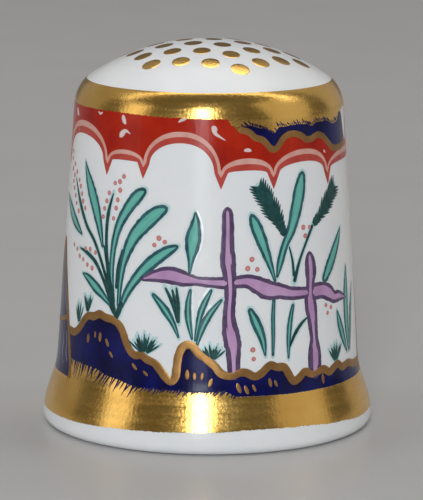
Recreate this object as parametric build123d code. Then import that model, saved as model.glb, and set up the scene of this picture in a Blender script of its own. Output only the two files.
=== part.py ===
"""A bone china thimble with gilt bands and a fired-on enamel garden.

Millimetres, +Z up. The origin is the centre of the foot ring, on the surface it stands on, and the
middle of the decorated front faces -Y. The china is one turned shell. Each colour is a thin closed
coat that lies on it, face to face.

A place on the wall is (s, z): z is the height, and s the distance round the wall from the middle of
the front, measured on a ring of radius RING and positive towards +X. The garden repeats every half
turn.
"""
from build123d import *
import os
from math import cos, hypot, pi, radians, sin, sqrt

# The turned shell
HEIGHT = 28.0
FOOT_R = 12.0            # widest ring, just above the standing face
FOOT_WIDEST_Z = 0.75
FOOT_FLAT_R = 11.3       # outer edge of the flat standing face
FLARE_CORNER = (12.0, 1.45)
WAIST_CORNER = (11.03, 4.36)
FLARE_ROUND = 4.2
WAIST_ROUND = 2.0
SHOULDER = (9.74, 23.2)  # where the straight wall ends
SHOULDER_MID = (9.42, 24.44)
CREASE = (8.85, 25.2)    # edge between the shoulder and the dome
MOUTH_R = 9.35
MOUTH_ROUND = 0.55
CAVITY_TOP = (7.9, 22.6)
CROWN_WALL = 2.1

# Coats of gilding and enamel
COAT = 0.05
RING = 10.4
REPEAT = pi * RING       # the garden's length round the wall, half a turn
FRONT_HALF = 60.0        # degrees of a front or back sector each side of its middle
SIGHT_LIMIT = 1.3        # radians from a sector's middle, past the ends of every sector
FOOT_BAND = (1.65, 4.0)
SHOULDER_BAND_Z = 23.55
CROWN_DOT_R = 0.66
CROWN_DOT_PITCH = 2.15
CROWN_DOT_RINGS = 3
CROWN_DOT_TURN = -13.0   # degrees
CROWN_DOT_SHIFT = (0.3, 0.1)
OUTLINE = 0.16           # width of the dark line round a leaf or a post

DOME_RISE = HEIGHT - CREASE[1]
DOME_R = (CREASE[0] ** 2 + DOME_RISE ** 2) / (2 * DOME_RISE)
DOME_CENTRE_Z = HEIGHT - DOME_R


# ---- The china shell -------------------------------------------------------------------------

def side_line(grow):
    """The wall's outer line from the widest ring to the crease, moved out by grow."""
    wall = FilletPolyline(
        (FOOT_R + grow, FOOT_WIDEST_Z),
        (FLARE_CORNER[0] + grow, FLARE_CORNER[1]),
        (WAIST_CORNER[0] + grow, WAIST_CORNER[1]),
        (SHOULDER[0] + grow, SHOULDER[1]),
        radius=[FLARE_ROUND, WAIST_ROUND],
    )
    shoulder = ThreePointArc(
        (SHOULDER[0] + grow, SHOULDER[1]),
        (SHOULDER_MID[0] + grow, SHOULDER_MID[1]),
        (CREASE[0] + grow, CREASE[1]),
    )
    return wall + shoulder


def cap_arc(radius_out, rise, top):
    """Half of a dome's section, from its rim to the axis."""
    sphere = (radius_out ** 2 + rise ** 2) / (2 * rise)
    half = radius_out / 2
    drop = sphere - sqrt(sphere ** 2 - half ** 2)
    return ThreePointArc((radius_out, top - rise), (half, top - drop), (0, top))


def china_body():
    """The hollow shell, turned about Z, with a flat standing face between two rounded edges."""
    lip_mid = (FOOT_R - 0.16, 0.2)
    mouth_mid = (MOUTH_R + 0.16, 0.16)
    inner_top = HEIGHT - CROWN_WALL
    section = (
        ThreePointArc((FOOT_FLAT_R, 0), lip_mid, (FOOT_R, FOOT_WIDEST_Z))
        + side_line(0)
        + cap_arc(CREASE[0], DOME_RISE, HEIGHT)
        + Line((0, HEIGHT), (0, inner_top))
        + cap_arc(CAVITY_TOP[0], inner_top - CAVITY_TOP[1], inner_top)
        + Line(CAVITY_TOP, (MOUTH_R, MOUTH_ROUND))
        + ThreePointArc((MOUTH_R, MOUTH_ROUND), mouth_mid, (MOUTH_R + MOUTH_ROUND, 0))
        + Line((MOUTH_R + MOUTH_ROUND, 0), (FOOT_FLAT_R, 0))
    )
    return revolve(Plane.XZ * make_face(section), axis=Axis.Z)


# ---- How a coat follows the wall -------------------------------------------------------------

def coat_section(low, high):
    """The section of a coat on the wall between two heights."""
    strip = make_face(
        side_line(0)
        + side_line(COAT)
        + Line((FOOT_R, FOOT_WIDEST_Z), (FOOT_R + COAT, FOOT_WIDEST_Z))
        + Line(CREASE, (CREASE[0] + COAT, CREASE[1]))
    )
    window = Pos(FOOT_R, (low + high) / 2) * Rectangle(FOOT_R, high - low)
    return Plane.XZ * (strip & window)


def band(low, high):
    """A coat right round the wall."""
    return revolve(coat_section(low, high), axis=Axis.Z)


def wall_sector(half_angle):
    """The wall's coat over a sector whose middle faces -Y."""
    whole = revolve(coat_section(FOOT_BAND[1], SHOULDER_BAND_Z), axis=Axis.Z,
                    revolution_arc=2 * half_angle)
    return Rot(0, 0, -90 - half_angle) * whole


def wall_radius(z):
    """Outer radius of the straight wall at height z."""
    (low_r, low_z), (high_r, high_z) = WAIST_CORNER, SHOULDER
    return low_r + (high_r - low_r) * (z - low_z) / (high_z - low_z)


class Sector:
    """A sector of the wall seen straight on, so that flat outlines can be pressed onto it."""

    def __init__(self, middle, half_angle):
        self.middle = middle
        self.turn = middle / RING * 180 / pi
        self.coat = wall_sector(half_angle)
        self.reach = radians(half_angle) * RING
        self.sight = FOOT_R * sin(radians(half_angle))

    def at(self, s, z):
        """Where the wall place (s, z) is seen. Past the turn of the wall it goes straight on."""
        angle = (s - self.middle) / RING
        bent = max(-SIGHT_LIMIT, min(SIGHT_LIMIT, angle))
        return (wall_radius(z) * (sin(bent) + (angle - bent) * cos(SIGHT_LIMIT)), z)

    def shifts(self, places):
        """Whole repeats that bring some of these places into the sector."""
        low = min(place[0] for place in places)
        high = max(place[0] for place in places)
        return [
            shift for shift in (-REPEAT, 0, REPEAT)
            if low + shift < self.middle + self.reach and high + shift > self.middle - self.reach
        ]

    def cut(self, sketch, lengths):
        """A flat outline cut into equal lengths across the sector."""
        step = 2 * self.sight / lengths
        areas = []
        for index in range(lengths):
            window = Pos((index + 0.5) * step - self.sight, HEIGHT / 2) * Rectangle(step, HEIGHT)
            area = sketch & window
            if area and area.faces():
                areas.append(area)
        return areas

    def press(self, sketch):
        """The coat under a flat outline, in its place on the wall."""
        return Rot(0, 0, self.turn) * (self.coat & extrude(Plane.XZ * sketch, amount=2 * RING))


FRONT = Sector(0.0, FRONT_HALF)
FLANK = Sector(REPEAT / 2, 90 - FRONT_HALF)


def united(shapes):
    """All the shapes as one sketch."""
    whole = Sketch()
    for shape in shapes:
        whole += shape
    return whole


def without(area, *others):
    """The area with each of the others taken off it, where any of them may be empty."""
    for other in others:
        if area.faces() and other.faces():
            area -= other
    return area


def edge_places(path, extra, side):
    """The places along one side of a path of (s, z, width), half a width out."""
    places = []
    for index, (s, z, width) in enumerate(path):
        before = path[max(index - 1, 0)]
        after = path[min(index + 1, len(path) - 1)]
        run = hypot(after[0] - before[0], after[1] - before[1])
        half = side * (width / 2 + extra)
        places.append((s - half * (after[1] - before[1]) / run, z + half * (after[0] - before[0]) / run))
    return places


def brush(sector, path, extra=0.0):
    """A brush stroke along a path of (s, z, width)."""
    strokes = []
    for shift in sector.shifts(path):
        left = [sector.at(s + shift, z) for s, z in edge_places(path, extra, 1)]
        right = [sector.at(s + shift, z) for s, z in edge_places(path, extra, -1)]
        outline = Spline(*left) + Line(left[-1], right[-1]) + Spline(*right) + Line(right[0], left[0])
        strokes.append(make_face(outline))
    return strokes


def brushed(sector, paths, extra=0.0):
    """Many strokes as one sketch."""
    return united(stroke for path in paths for stroke in brush(sector, path, extra))


def dabbed(sector, places, radius):
    """Round dabs of the brush as one sketch."""
    dabs = []
    for s, z in places:
        for shift in sector.shifts([(s, z)]):
            dabs.append(Pos(*sector.at(s + shift, z)) * Circle(radius))
    return united(dabs)


def filled(sector, top, bottom):
    """The area between two lines of (s, z) places, joined by straight ends."""
    areas = []
    for shift in sector.shifts(top):
        upper = [sector.at(s + shift, z) for s, z in top]
        lower = [sector.at(s + shift, z) for s, z in bottom]
        outline = Spline(*upper) + Line(upper[-1], lower[-1]) + Line(upper[0], lower[0])
        outline += Spline(*lower) if len(lower) > 2 else Line(*lower)
        areas.append(make_face(outline))
    return united(areas)


# ---- The garden's drawing, as places on the wall ---------------------------------------------

# Scallops of the red border: ends of each arch, its height above them, and how far the two lines
# below it drop at the arch's top.
CUSPS = [(-15.0, 20.0), (-8.3, 20.1), (-4.95, 20.1), (0.9, 19.55), (4.9, 19.5), (10.4, 19.3),
         (REPEAT - 15.0, 20.0)]
ARCH_TOPS = [22.6, 21.0, 22.55, 20.7, 21.1, 20.55]
LINE_DROPS = (0.0, 0.4, 0.8)

UPPER_CONTOUR = [(2.2, 22.9, 0.3), (3.0, 22.6, 0.4), (3.7, 22.15, 0.42), (4.8, 21.4, 0.45),
                 (5.6, 21.7, 0.42), (6.6, 22.25, 0.4), (7.6, 22.0, 0.4), (8.5, 21.75, 0.4),
                 (9.4, 21.95, 0.4), (10.5, 21.45, 0.42), (11.4, 20.85, 0.42), (13.4, 20.7, 0.3)]
UPPER_COBALT_TOP = [(2.6, 23.05), (5.0, 22.95), (9.0, 23.0), (12.2, 22.9), (13.4, 22.3)]
GILT_LOBE_START = (1.9, 23.6)
WHITE_GAP = (13.5, 15.6)

LOWER_CONTOUR = [(-11.5, 7.5, 0.4), (-10.6, 7.95, 0.45), (-9.6, 8.95, 0.45), (-8.3, 9.2, 0.42),
                 (-6.9, 9.0, 0.42), (-6.1, 8.3, 0.45), (-5.4, 7.1, 0.45), (-4.3, 6.7, 0.45),
                 (-3.4, 6.1, 0.45), (-2.6, 5.5, 0.45), (-2.1, 5.8, 0.45), (-1.9, 6.9, 0.45),
                 (-1.3, 7.75, 0.45), (-0.6, 7.3, 0.5), (0.3, 6.45, 0.5), (1.2, 5.7, 0.45),
                 (2.6, 5.7, 0.45), (3.6, 5.6, 0.45), (4.5, 6.1, 0.45), (5.4, 5.8, 0.45),
                 (6.2, 5.15, 0.45), (7.2, 5.55, 0.45), (8.2, 5.35, 0.45), (9.0, 5.6, 0.45),
                 (9.8, 5.2, 0.45), (10.6, 5.5, 0.45), (12.2, 5.3, 0.4), (14.6, 5.1, 0.4)]
ROCK_FOOT_Z = FOOT_BAND[1]
ROCK_LENGTHS = 6         # the rocks and their gilt line cross the waist, so they are laid in lengths

PILLAR_EDGE = [(-11.5, 4.05, 0.45), (-11.9, 6.0, 0.5), (-12.5, 8.2, 0.45), (-13.5, 10.8, 0.4),
               (-14.6, 13.4, 0.3)]
PILLAR_BACK = [(-17.4, 4.05, 0.45), (-16.9, 7.0, 0.45), (-16.1, 10.5, 0.4), (-14.9, 13.5, 0.3)]
PILLAR_RUNG = [(-12.4, 8.3, 0.35), (-14.2, 7.5, 0.35), (-16.7, 7.7, 0.35)]

FLECKS = [(-9.4, 7.3), (-8.6, 7.7), (-8.1, 7.6), (-7.4, 7.3), (-7.1, 6.5), (-5.2, 5.9),
          (-4.3, 5.5), (-1.35, 5.6), (-0.85, 5.5), (-0.35, 5.45), (2.1, 4.65), (2.65, 4.55),
          (3.2, 4.6), (4.3, 4.95), (4.75, 4.8), (8.8, 4.55)]
FLECK_R = 0.14

LEAVES = [
    # the tall clump on the left
    [(-8.35, 14.0, 0.15), (-9.2, 16.4, 0.85), (-10.1, 18.0, 0.95), (-11.05, 19.75, 0.1)],
    [(-15.0, 16.9, 0.1), (-13.9, 16.35, 0.6), (-12.2, 15.25, 0.75), (-11.0, 14.55, 0.1)],
    [(-7.1, 10.5, 0.3), (-7.3, 13.2, 0.45), (-6.8, 15.8, 0.65), (-5.7, 17.5, 0.85),
     (-4.65, 18.5, 0.3)],
    [(-6.55, 10.2, 0.3), (-6.35, 12.9, 0.5), (-5.6, 14.9, 0.9), (-4.4, 16.3, 1.05),
     (-2.95, 17.3, 0.4)],
    [(-6.2, 10.0, 0.3), (-5.55, 11.7, 0.6), (-4.0, 13.45, 0.85), (-2.1, 14.6, 0.2)],
    [(-10.5, 11.8, 0.1), (-9.3, 11.35, 0.75), (-8.2, 10.65, 0.55), (-7.4, 10.1, 0.2)],
    # the single leaf in the middle
    [(-1.25, 12.9, 0.2), (-1.1, 14.3, 0.8), (-1.0, 15.4, 1.0), (-0.95, 17.0, 0.1)],
    # the group behind the fence
    [(4.8, 12.2, 0.15), (4.2, 14.0, 0.6), (3.6, 15.6, 0.85), (3.1, 16.85, 0.25)],
    [(5.0, 12.3, 0.15), (5.6, 14.3, 0.55), (6.5, 16.2, 0.85), (7.1, 18.1, 0.95),
     (7.5, 19.55, 0.5)],
    [(9.3, 11.5, 0.5), (10.3, 12.8, 0.85), (11.2, 13.9, 0.75), (11.95, 15.0, 0.1)],
    # the small plants in front of it
    [(-2.0, 8.2, 0.15), (-2.7, 9.7, 0.45), (-3.9, 11.15, 0.2)],
    [(-1.1, 8.4, 0.15), (-1.35, 10.0, 0.4), (-1.2, 11.6, 0.2)],
    [(-0.75, 8.0, 0.15), (0.0, 9.7, 0.42), (0.95, 10.9, 0.15)],
    [(3.95, 6.9, 0.1), (3.6, 8.5, 0.55), (2.95, 10.2, 0.3)],
    [(5.75, 6.6, 0.15), (5.85, 8.4, 0.35), (6.2, 10.2, 0.25)],
    [(12.0, 6.1, 0.15), (11.45, 7.4, 0.6), (10.9, 9.1, 0.15)],
    [(12.45, 6.1, 0.15), (12.4, 9.0, 0.8), (12.7, 12.0, 0.2)],
]
STEMS = [
    [(-12.6, 18.3, 0.2), (-11.1, 16.2, 0.35), (-9.3, 14.4, 0.3), (-7.75, 11.4, 0.3),
     (-6.95, 9.3, 0.2)],
    [(-7.5, 17.9, 0.15), (-8.0, 16.0, 0.3), (-7.95, 14.3, 0.25)],
    [(-11.1, 13.5, 0.2), (-9.4, 13.0, 0.4), (-8.35, 12.1, 0.25)],
    [(8.3, 15.6, 0.25), (7.3, 14.0, 0.22), (6.4, 11.9, 0.3)],
    [(4.6, 6.9, 0.2), (4.62, 9.0, 0.3), (4.7, 10.7, 0.25)],
    [(6.0, 7.6, 0.2), (6.6, 8.4, 0.28), (7.3, 9.0, 0.2)],
]
FEATHERS = [
    [(5.6, 15.3, 0.2), (5.0, 16.7, 1.1), (4.1, 18.0, 1.3), (3.0, 19.3, 0.3)],
    [(8.4, 15.8, 0.3), (9.6, 16.5, 1.0), (10.7, 17.4, 1.2), (11.9, 18.4, 0.3)],
]
TUFTS = [(-4.2, 7.15, 0.95), (0.4, 6.85, 0.75), (10.3, 5.85, 0.85), (-10.6, 8.5, 0.95)]
TUFT_BLADES = 5
TUFT_SPREAD = 60.0       # degrees from upright to the outermost blade
TUFT_BLADE_WIDTH = 0.2

POSTS = [
    [(1.35, 17.3, 0.3), (1.4, 16.6, 0.65), (1.4, 14.6, 0.7), (1.45, 13.2, 0.85),
     (1.55, 11.2, 0.62), (1.45, 9.6, 0.7), (1.65, 8.2, 0.95), (1.75, 6.2, 0.6)],
    [(7.9, 13.7, 0.3), (7.95, 12.6, 0.8), (7.85, 11.4, 0.65), (7.9, 9.6, 0.85),
     (8.0, 8.0, 0.6), (8.05, 6.5, 1.0), (8.05, 5.6, 0.9)],
]
RAILS = [
    [(-4.6, 12.2, 0.1), (-3.6, 12.5, 0.55), (-2.6, 12.5, 0.85), (-1.5, 12.35, 0.65),
     (-0.5, 12.2, 0.4), (1.6, 12.05, 0.6)],
    [(1.6, 12.05, 0.55), (2.8, 12.15, 0.65), (4.3, 11.5, 1.05), (5.6, 11.2, 0.7),
     (7.9, 10.9, 0.55)],
    [(7.9, 10.9, 0.8), (9.0, 10.9, 0.9), (10.3, 10.3, 0.6), (12.1, 9.95, 0.1)],
]
BERRIES = [
    (-14.0, 20.1), (-14.0, 19.6), (-13.2, 19.3), (-13.7, 18.9), (-12.6, 18.8), (-13.3, 18.1),
    (-12.0, 18.3), (-13.0, 17.6), (-11.7, 17.9), (-12.6, 17.1), (-11.4, 17.4), (-11.2, 16.9),
    (-10.8, 16.4), (-6.6, 19.2), (-6.95, 18.8), (-7.4, 18.6), (-6.9, 18.2), (-7.95, 17.9),
    (-7.05, 17.5), (-8.15, 17.3), (-8.4, 16.75), (-7.35, 16.15), (-8.5, 16.15), (-12.2, 13.6),
    (-11.6, 13.35), (-11.1, 12.95), (-10.6, 12.8), (-10.0, 12.5), (-9.4, 12.35), (-10.3, 13.65),
    (-9.7, 13.65), (-9.1, 13.5), (-3.55, 15.1), (-3.1, 14.85), (-3.85, 14.6), (3.1, 13.7),
    (2.8, 13.05), (3.45, 12.95), (7.4, 15.6), (8.0, 15.55), (7.55, 14.95), (9.45, 9.75),
    (10.05, 9.55), (9.6, 9.2), (3.1, 7.3), (3.15, 6.65),
]
BERRY_R = 0.17


# ---- Coats of the garden, each worked out flat in one sector ---------------------------------

def arches(sector, drop):
    """Everything under the scalloped line that hangs drop below the border's edge."""
    foot_z = FOOT_BAND[1]
    shapes = []
    for (s0, z0), (s1, z1), top in zip(CUSPS, CUSPS[1:], ARCH_TOPS):
        z0, z1, top = z0 - 1.25 * drop, z1 - 1.25 * drop, top - drop
        lean = (s1 - s0) * 0.12
        lift = (top - (z0 + z1) / 2) / 0.75
        corners = [(s0, z0), (s0 + lean, z0 + lift), (s1 - lean, z1 + lift), (s1, z1)]
        for shift in sector.shifts(corners):
            curve = [sector.at(s + shift, z) for s, z in corners]
            feet = [sector.at(s + shift, foot_z) for s in (s0, s1)]
            outline = Bezier(*curve) + Polyline(curve[-1], feet[1], feet[0], curve[0])
            shapes.append(make_face(outline))
    return united(shapes)


def centre_line(path):
    """The places of a stroke without its widths."""
    return [(s, z) for s, z, _ in path]


def upper_cobalt(sector):
    """The blue cloud under the shoulder band, above its gilt line."""
    area = filled(sector, UPPER_COBALT_TOP, centre_line(UPPER_CONTOUR)[1:])
    return without(area, brushed(sector, [UPPER_CONTOUR]))


def gilt_lobe(sector):
    """The shoulder band's lower lip, where it runs down to the blue cloud."""
    top = [GILT_LOBE_START, (7.0, 23.6), (13.4, 23.6)]
    area = filled(sector, top, [(2.2, 22.9)] + UPPER_COBALT_TOP)
    return without(area, upper_cobalt(sector), brushed(sector, [UPPER_CONTOUR]))


def white_gap(sector):
    """The bare china between one border and the next."""
    low_z = 21.3
    start, end = WHITE_GAP
    return filled(sector, [(start, 24), (end, 24)], [(start, low_z), (end, low_z)])


def scallop_ground(sector):
    """The red border down to the scallops."""
    wide = Pos(0, 21) * Rectangle(3 * RING, 6)
    reserve = arches(sector, LINE_DROPS[0])
    contour = brushed(sector, [UPPER_CONTOUR])
    cloud = upper_cobalt(sector)
    return without(wide, reserve, contour, cloud, gilt_lobe(sector), white_gap(sector))


def pillar(sector):
    """The blue rock pillar between two gardens, without its gilt edges."""
    areas = filled(sector, centre_line(PILLAR_EDGE), centre_line(PILLAR_BACK))
    return without(areas, pillar_lines(sector))


def pillar_lines(sector):
    """The gilt edges of the pillar and the line across it."""
    return brushed(sector, [PILLAR_EDGE, PILLAR_BACK, PILLAR_RUNG])


def lower_contour(sector):
    """The gilt line along the top of the blue rocks."""
    return without(brushed(sector, [LOWER_CONTOUR]), pillar(sector), pillar_lines(sector))


def flecks(sector):
    """The small gilt strokes on the rocks."""
    return dabbed(sector, FLECKS, FLECK_R)


def lower_cobalt(sector):
    """The blue rocks between the foot band and their gilt line."""
    line = centre_line(LOWER_CONTOUR)
    foot = [(line[0][0], ROCK_FOOT_Z), (line[-1][0], ROCK_FOOT_Z)]
    rocks = without(filled(sector, line, foot), brushed(sector, [LOWER_CONTOUR]), flecks(sector))
    return without(rocks, pillar(sector), pillar_lines(sector))


def fence(sector):
    """The whole fence with its outline."""
    return brushed(sector, POSTS + RAILS, OUTLINE)


def posts(sector):
    """The lilac of the posts."""
    return without(brushed(sector, POSTS), lower_contour(sector))


def rails(sector):
    """The lilac of the rails, which run behind the posts."""
    return without(brushed(sector, RAILS), brushed(sector, POSTS, OUTLINE), lower_contour(sector))


def fence_outlines(sector):
    """The dark line round the posts and rails."""
    return without(fence(sector), posts(sector), rails(sector), lower_contour(sector))


def clear_of_edges(sector, plants):
    """Plants cut off at the gilt lines, the rocks and the fence."""
    return without(plants, lower_contour(sector), fence(sector), lower_cobalt(sector),
                   pillar_lines(sector), pillar(sector))


def stems(sector):
    """Thin dark stems."""
    return clear_of_edges(sector, brushed(sector, STEMS))


def feathers(sector):
    """The two dark feathery leaves."""
    return without(clear_of_edges(sector, brushed(sector, FEATHERS)), stems(sector))


def leaves(sector):
    """The turquoise of the leaves."""
    area = clear_of_edges(sector, brushed(sector, LEAVES))
    return without(area, stems(sector), feathers(sector))


def leaf_outlines(sector):
    """The dark line round the leaves."""
    area = clear_of_edges(sector, brushed(sector, LEAVES, OUTLINE))
    return without(area, leaves(sector), stems(sector), feathers(sector))


def tufts(sector):
    """Fans of short grass."""
    blades = []
    for s, z, length in TUFTS:
        for index in range(TUFT_BLADES):
            lean = radians(TUFT_SPREAD * (2 * index / (TUFT_BLADES - 1) - 1))
            root = (s + 0.4 * length * sin(lean), z + 0.4 * length * cos(lean), 0.05)
            tip = (s + length * sin(lean), z + length * cos(lean), 0.05)
            middle = ((root[0] + tip[0]) / 2, (root[1] + tip[1]) / 2, TUFT_BLADE_WIDTH)
            blades.append([root, middle, tip])
    area = clear_of_edges(sector, brushed(sector, blades))
    return without(area, leaves(sector), leaf_outlines(sector))


def berries(sector):
    """The coral dots."""
    area = clear_of_edges(sector, dabbed(sector, BERRIES, BERRY_R))
    return without(area, leaves(sector), leaf_outlines(sector), stems(sector), feathers(sector))


def pink_line(sector):
    """The pale line under the red border."""
    area = without(arches(sector, LINE_DROPS[0]), arches(sector, LINE_DROPS[1]))
    return without(area, brushed(sector, [UPPER_CONTOUR]))


def red_line(sector):
    """The red line under the pale one."""
    return without(arches(sector, LINE_DROPS[1]), arches(sector, LINE_DROPS[2]))


def coat(drawing, lengths=1):
    """A drawing pressed onto both kinds of sector, and repeated half a turn on."""
    half = Part()
    for sector in (FRONT, FLANK):
        sketch = drawing(sector)
        if sketch.faces():
            for area in sector.cut(sketch, lengths):
                half += sector.press(area)
    return half + Rot(0, 0, 180) * half


# ---- The crown -------------------------------------------------------------------------------

def crown_dots():
    """Gilt dots on the dome, on a three-way grid round a point near its top."""
    dome = cap_arc(CREASE[0], DOME_RISE, HEIGHT) + cap_arc(CREASE[0], DOME_RISE, HEIGHT + COAT)
    ends = Line((0, HEIGHT), (0, HEIGHT + COAT)) + Line(
        (CREASE[0], CREASE[1]), (CREASE[0], CREASE[1] + COAT))
    skin = revolve(Plane.XZ * make_face(dome + ends), axis=Axis.Z)
    rods = []
    for row in range(-CROWN_DOT_RINGS, CROWN_DOT_RINGS + 1):
        for column in range(-CROWN_DOT_RINGS, CROWN_DOT_RINGS + 1):
            if abs(row + column) > CROWN_DOT_RINGS:
                continue
            grid = Vector(column + row / 2, row * sqrt(3) / 2, 0) * CROWN_DOT_PITCH
            spot = grid.rotate(Axis.Z, CROWN_DOT_TURN) + Vector(*CROWN_DOT_SHIFT, 0)
            height = sqrt(DOME_R ** 2 - spot.X ** 2 - spot.Y ** 2)
            normal = Plane(origin=(0, 0, DOME_CENTRE_Z), z_dir=(spot.X, spot.Y, height))
            rods.append(extrude(normal * Circle(CROWN_DOT_R), amount=2 * DOME_R))
    return Compound([skin & rod for rod in rods])


# ---- Every node ------------------------------------------------------------------------------

NODES = {
    "china_body": china_body,
    "gilt_foot_band": lambda: band(*FOOT_BAND),
    "gilt_shoulder_band": lambda: band(SHOULDER_BAND_Z, CREASE[1]) + coat(gilt_lobe),
    "gilt_crown_dots": crown_dots,
    "red_scallop_ground": lambda: coat(scallop_ground),
    "pink_scallop_line": lambda: coat(pink_line),
    "red_scallop_line": lambda: coat(red_line),
    "upper_cobalt_cloud": lambda: coat(upper_cobalt),
    "upper_gilt_contour": lambda: coat(lambda sector: brushed(sector, [UPPER_CONTOUR])),
    "lower_cobalt_rocks": lambda: coat(lower_cobalt, ROCK_LENGTHS),
    "lower_gilt_contour": lambda: coat(lower_contour, ROCK_LENGTHS),
    "cobalt_rock_pillars": lambda: coat(pillar),
    "gilt_pillar_lines": lambda: coat(pillar_lines),
    "gilt_rock_flecks": lambda: coat(flecks),
    "fence_posts": lambda: coat(posts),
    "fence_rails": lambda: coat(rails),
    "fence_outlines": lambda: coat(fence_outlines),
    "turquoise_leaves": lambda: coat(leaves),
    "leaf_outlines": lambda: coat(leaf_outlines),
    "leaf_stems": lambda: coat(stems),
    "feather_leaves": lambda: coat(feathers),
    "grass_tufts": lambda: coat(tufts),
    "coral_berries": lambda: coat(berries),
}

os.makedirs("parts", exist_ok=True)
for name, make in NODES.items():
    shape = make()
    shape.label = name
    export_step(shape, f"parts/{name}.step")
    print(name, len(shape.solids()), "solids", round(shape.volume, 3), "mm3")
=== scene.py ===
import random
from math import cos, hypot, pi, radians, sin, sqrt, tan

import bpy
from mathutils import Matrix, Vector


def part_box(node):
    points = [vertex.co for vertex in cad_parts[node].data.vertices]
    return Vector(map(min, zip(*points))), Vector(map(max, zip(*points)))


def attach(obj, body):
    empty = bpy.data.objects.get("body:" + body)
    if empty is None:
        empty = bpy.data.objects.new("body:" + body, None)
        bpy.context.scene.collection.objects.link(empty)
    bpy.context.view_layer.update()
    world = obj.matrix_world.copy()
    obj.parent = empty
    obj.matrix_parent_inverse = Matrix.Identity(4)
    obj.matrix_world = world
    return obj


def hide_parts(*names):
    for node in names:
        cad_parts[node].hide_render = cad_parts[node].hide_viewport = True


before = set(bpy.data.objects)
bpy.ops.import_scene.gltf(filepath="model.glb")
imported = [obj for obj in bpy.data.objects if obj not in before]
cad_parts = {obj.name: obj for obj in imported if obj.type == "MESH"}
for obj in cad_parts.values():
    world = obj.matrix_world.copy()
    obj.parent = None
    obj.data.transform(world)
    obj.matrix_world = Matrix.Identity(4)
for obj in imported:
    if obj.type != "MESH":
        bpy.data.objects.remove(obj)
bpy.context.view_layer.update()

MM = 0.001

# ---- The china body ------------------------------------------------------------------------------
# One hollow shell of white bone china, turned on a wheel, with a flared foot and a low dome.
# It is fired once bare and once more under a clear glaze, which rounds every edge a little.

far_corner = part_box("china_body")[1]
HEIGHT = far_corner[2] / MM
FOOT_RADIUS = far_corner[0] / MM
CREASE = (8.85, HEIGHT - 2.8)    # edge between the shoulder and the dome, as (radius, height)
SHOULDER = (9.74, 23.2)          # where the straight wall ends
SHOULDER_MIDDLE = (9.42, 24.44)
# Arcs of the section, each as its start, middle and end
WAIST = [(10.985, 5.05), (11.08, 4.38), (11.26, 3.68)]
FLARE = [(11.79, 2.12), (11.94, 1.45), (FOOT_RADIUS, 0.75)]
FOOT_EDGE = [(FOOT_RADIUS, 0.75), (FOOT_RADIUS - 0.17, 0.2), (11.3, 0.0)]
MOUTH_EDGE = [(9.9, 0.0), (9.51, 0.16), (9.35, 0.55)]
CAVITY_TOP = (7.9, 22.6)
CROWN_WALL = 2.1
CHINA_SAMPLES = 420              # along the section
CHINA_SEGMENTS = 200             # round the axis
SEAM_GAP = 0.002 * MM            # places closer than this are one
SHARP_ANGLE = radians(38)        # edges bent by more than this are shaded as sharp


def arc_through(start, middle, end, count):
    """Places on the arc through three places of a plane, without the last."""
    (ax, ay), (bx, by), (cx, cy) = start, middle, end
    d = 2 * (ax * (by - cy) + bx * (cy - ay) + cx * (ay - by))
    a2, b2, c2 = ax * ax + ay * ay, bx * bx + by * by, cx * cx + cy * cy
    centre = Vector(((a2 * (by - cy) + b2 * (cy - ay) + c2 * (ay - by)) / d,
                     (a2 * (cx - bx) + b2 * (ax - cx) + c2 * (bx - ax)) / d))
    first = Vector(start) - centre
    half_way = Vector(middle) - centre
    sweep = first.angle_signed(half_way) + half_way.angle_signed(Vector(end) - centre)
    places = []
    for index in range(count):
        turn = -sweep * index / count
        places.append((centre.x + first.x * cos(turn) - first.y * sin(turn),
                       centre.y + first.x * sin(turn) + first.y * cos(turn)))
    return places


def dome_places(rim, top, count):
    """Places down a dome's section from its top to its rim, without the rim."""
    rise = top - rim[1]
    sphere = (rim[0] ** 2 + rise ** 2) / (2 * rise)
    half = rim[0] / 2
    middle = (half, top - sphere + sqrt(sphere ** 2 - half ** 2))
    return arc_through((0, top), middle, rim, count)


china_section = (
    dome_places(CREASE, HEIGHT, count=30)
    + arc_through(CREASE, SHOULDER_MIDDLE, SHOULDER, count=14)
    + [SHOULDER, WAIST[0]]
    + arc_through(*WAIST, count=10)
    + arc_through(*FLARE, count=12)
    + arc_through(*FOOT_EDGE, count=12)
    + arc_through(*MOUTH_EDGE, count=8)
    + [MOUTH_EDGE[-1], CAVITY_TOP]
    + dome_places(CAVITY_TOP, HEIGHT - CROWN_WALL, count=24)[::-1]
)


def put(tree, kind, inputs=None, **settings):
    """A new node in a tree, with its settings, and its inputs linked or set."""
    made = tree.nodes.new(kind)
    for name, value in settings.items():
        setattr(made, name, value)
    for key, value in (inputs or {}).items():
        if isinstance(value, bpy.types.NodeSocket):
            tree.links.new(value, made.inputs[key])
        else:
            made.inputs[key].default_value = value
    return made


def maths(tree, operation, *values):
    """The output of a Math node."""
    return put(tree, "ShaderNodeMath", dict(enumerate(values)), operation=operation).outputs[0]


def plus(tree, a, b):
    """The sum of two numbers."""
    return maths(tree, "ADD", a, b)


def times(tree, a, b):
    """The product of two numbers."""
    return maths(tree, "MULTIPLY", a, b)


def vector_plus(tree, a, b):
    """The sum of two vectors."""
    return put(tree, "ShaderNodeVectorMath", {0: a, 1: b}, operation="ADD").outputs[0]


def vector_times(tree, vector, factor):
    """A vector scaled by a number."""
    return put(tree, "ShaderNodeVectorMath", {"Vector": vector, "Scale": factor},
               operation="SCALE").outputs[0]


def split(tree, vector):
    """The three parts of a vector."""
    return put(tree, "ShaderNodeSeparateXYZ", {"Vector": vector}).outputs


def joined(tree, x, y, z):
    """A vector of three parts."""
    return put(tree, "ShaderNodeCombineXYZ", {"X": x, "Y": y, "Z": z}).outputs[0]


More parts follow.
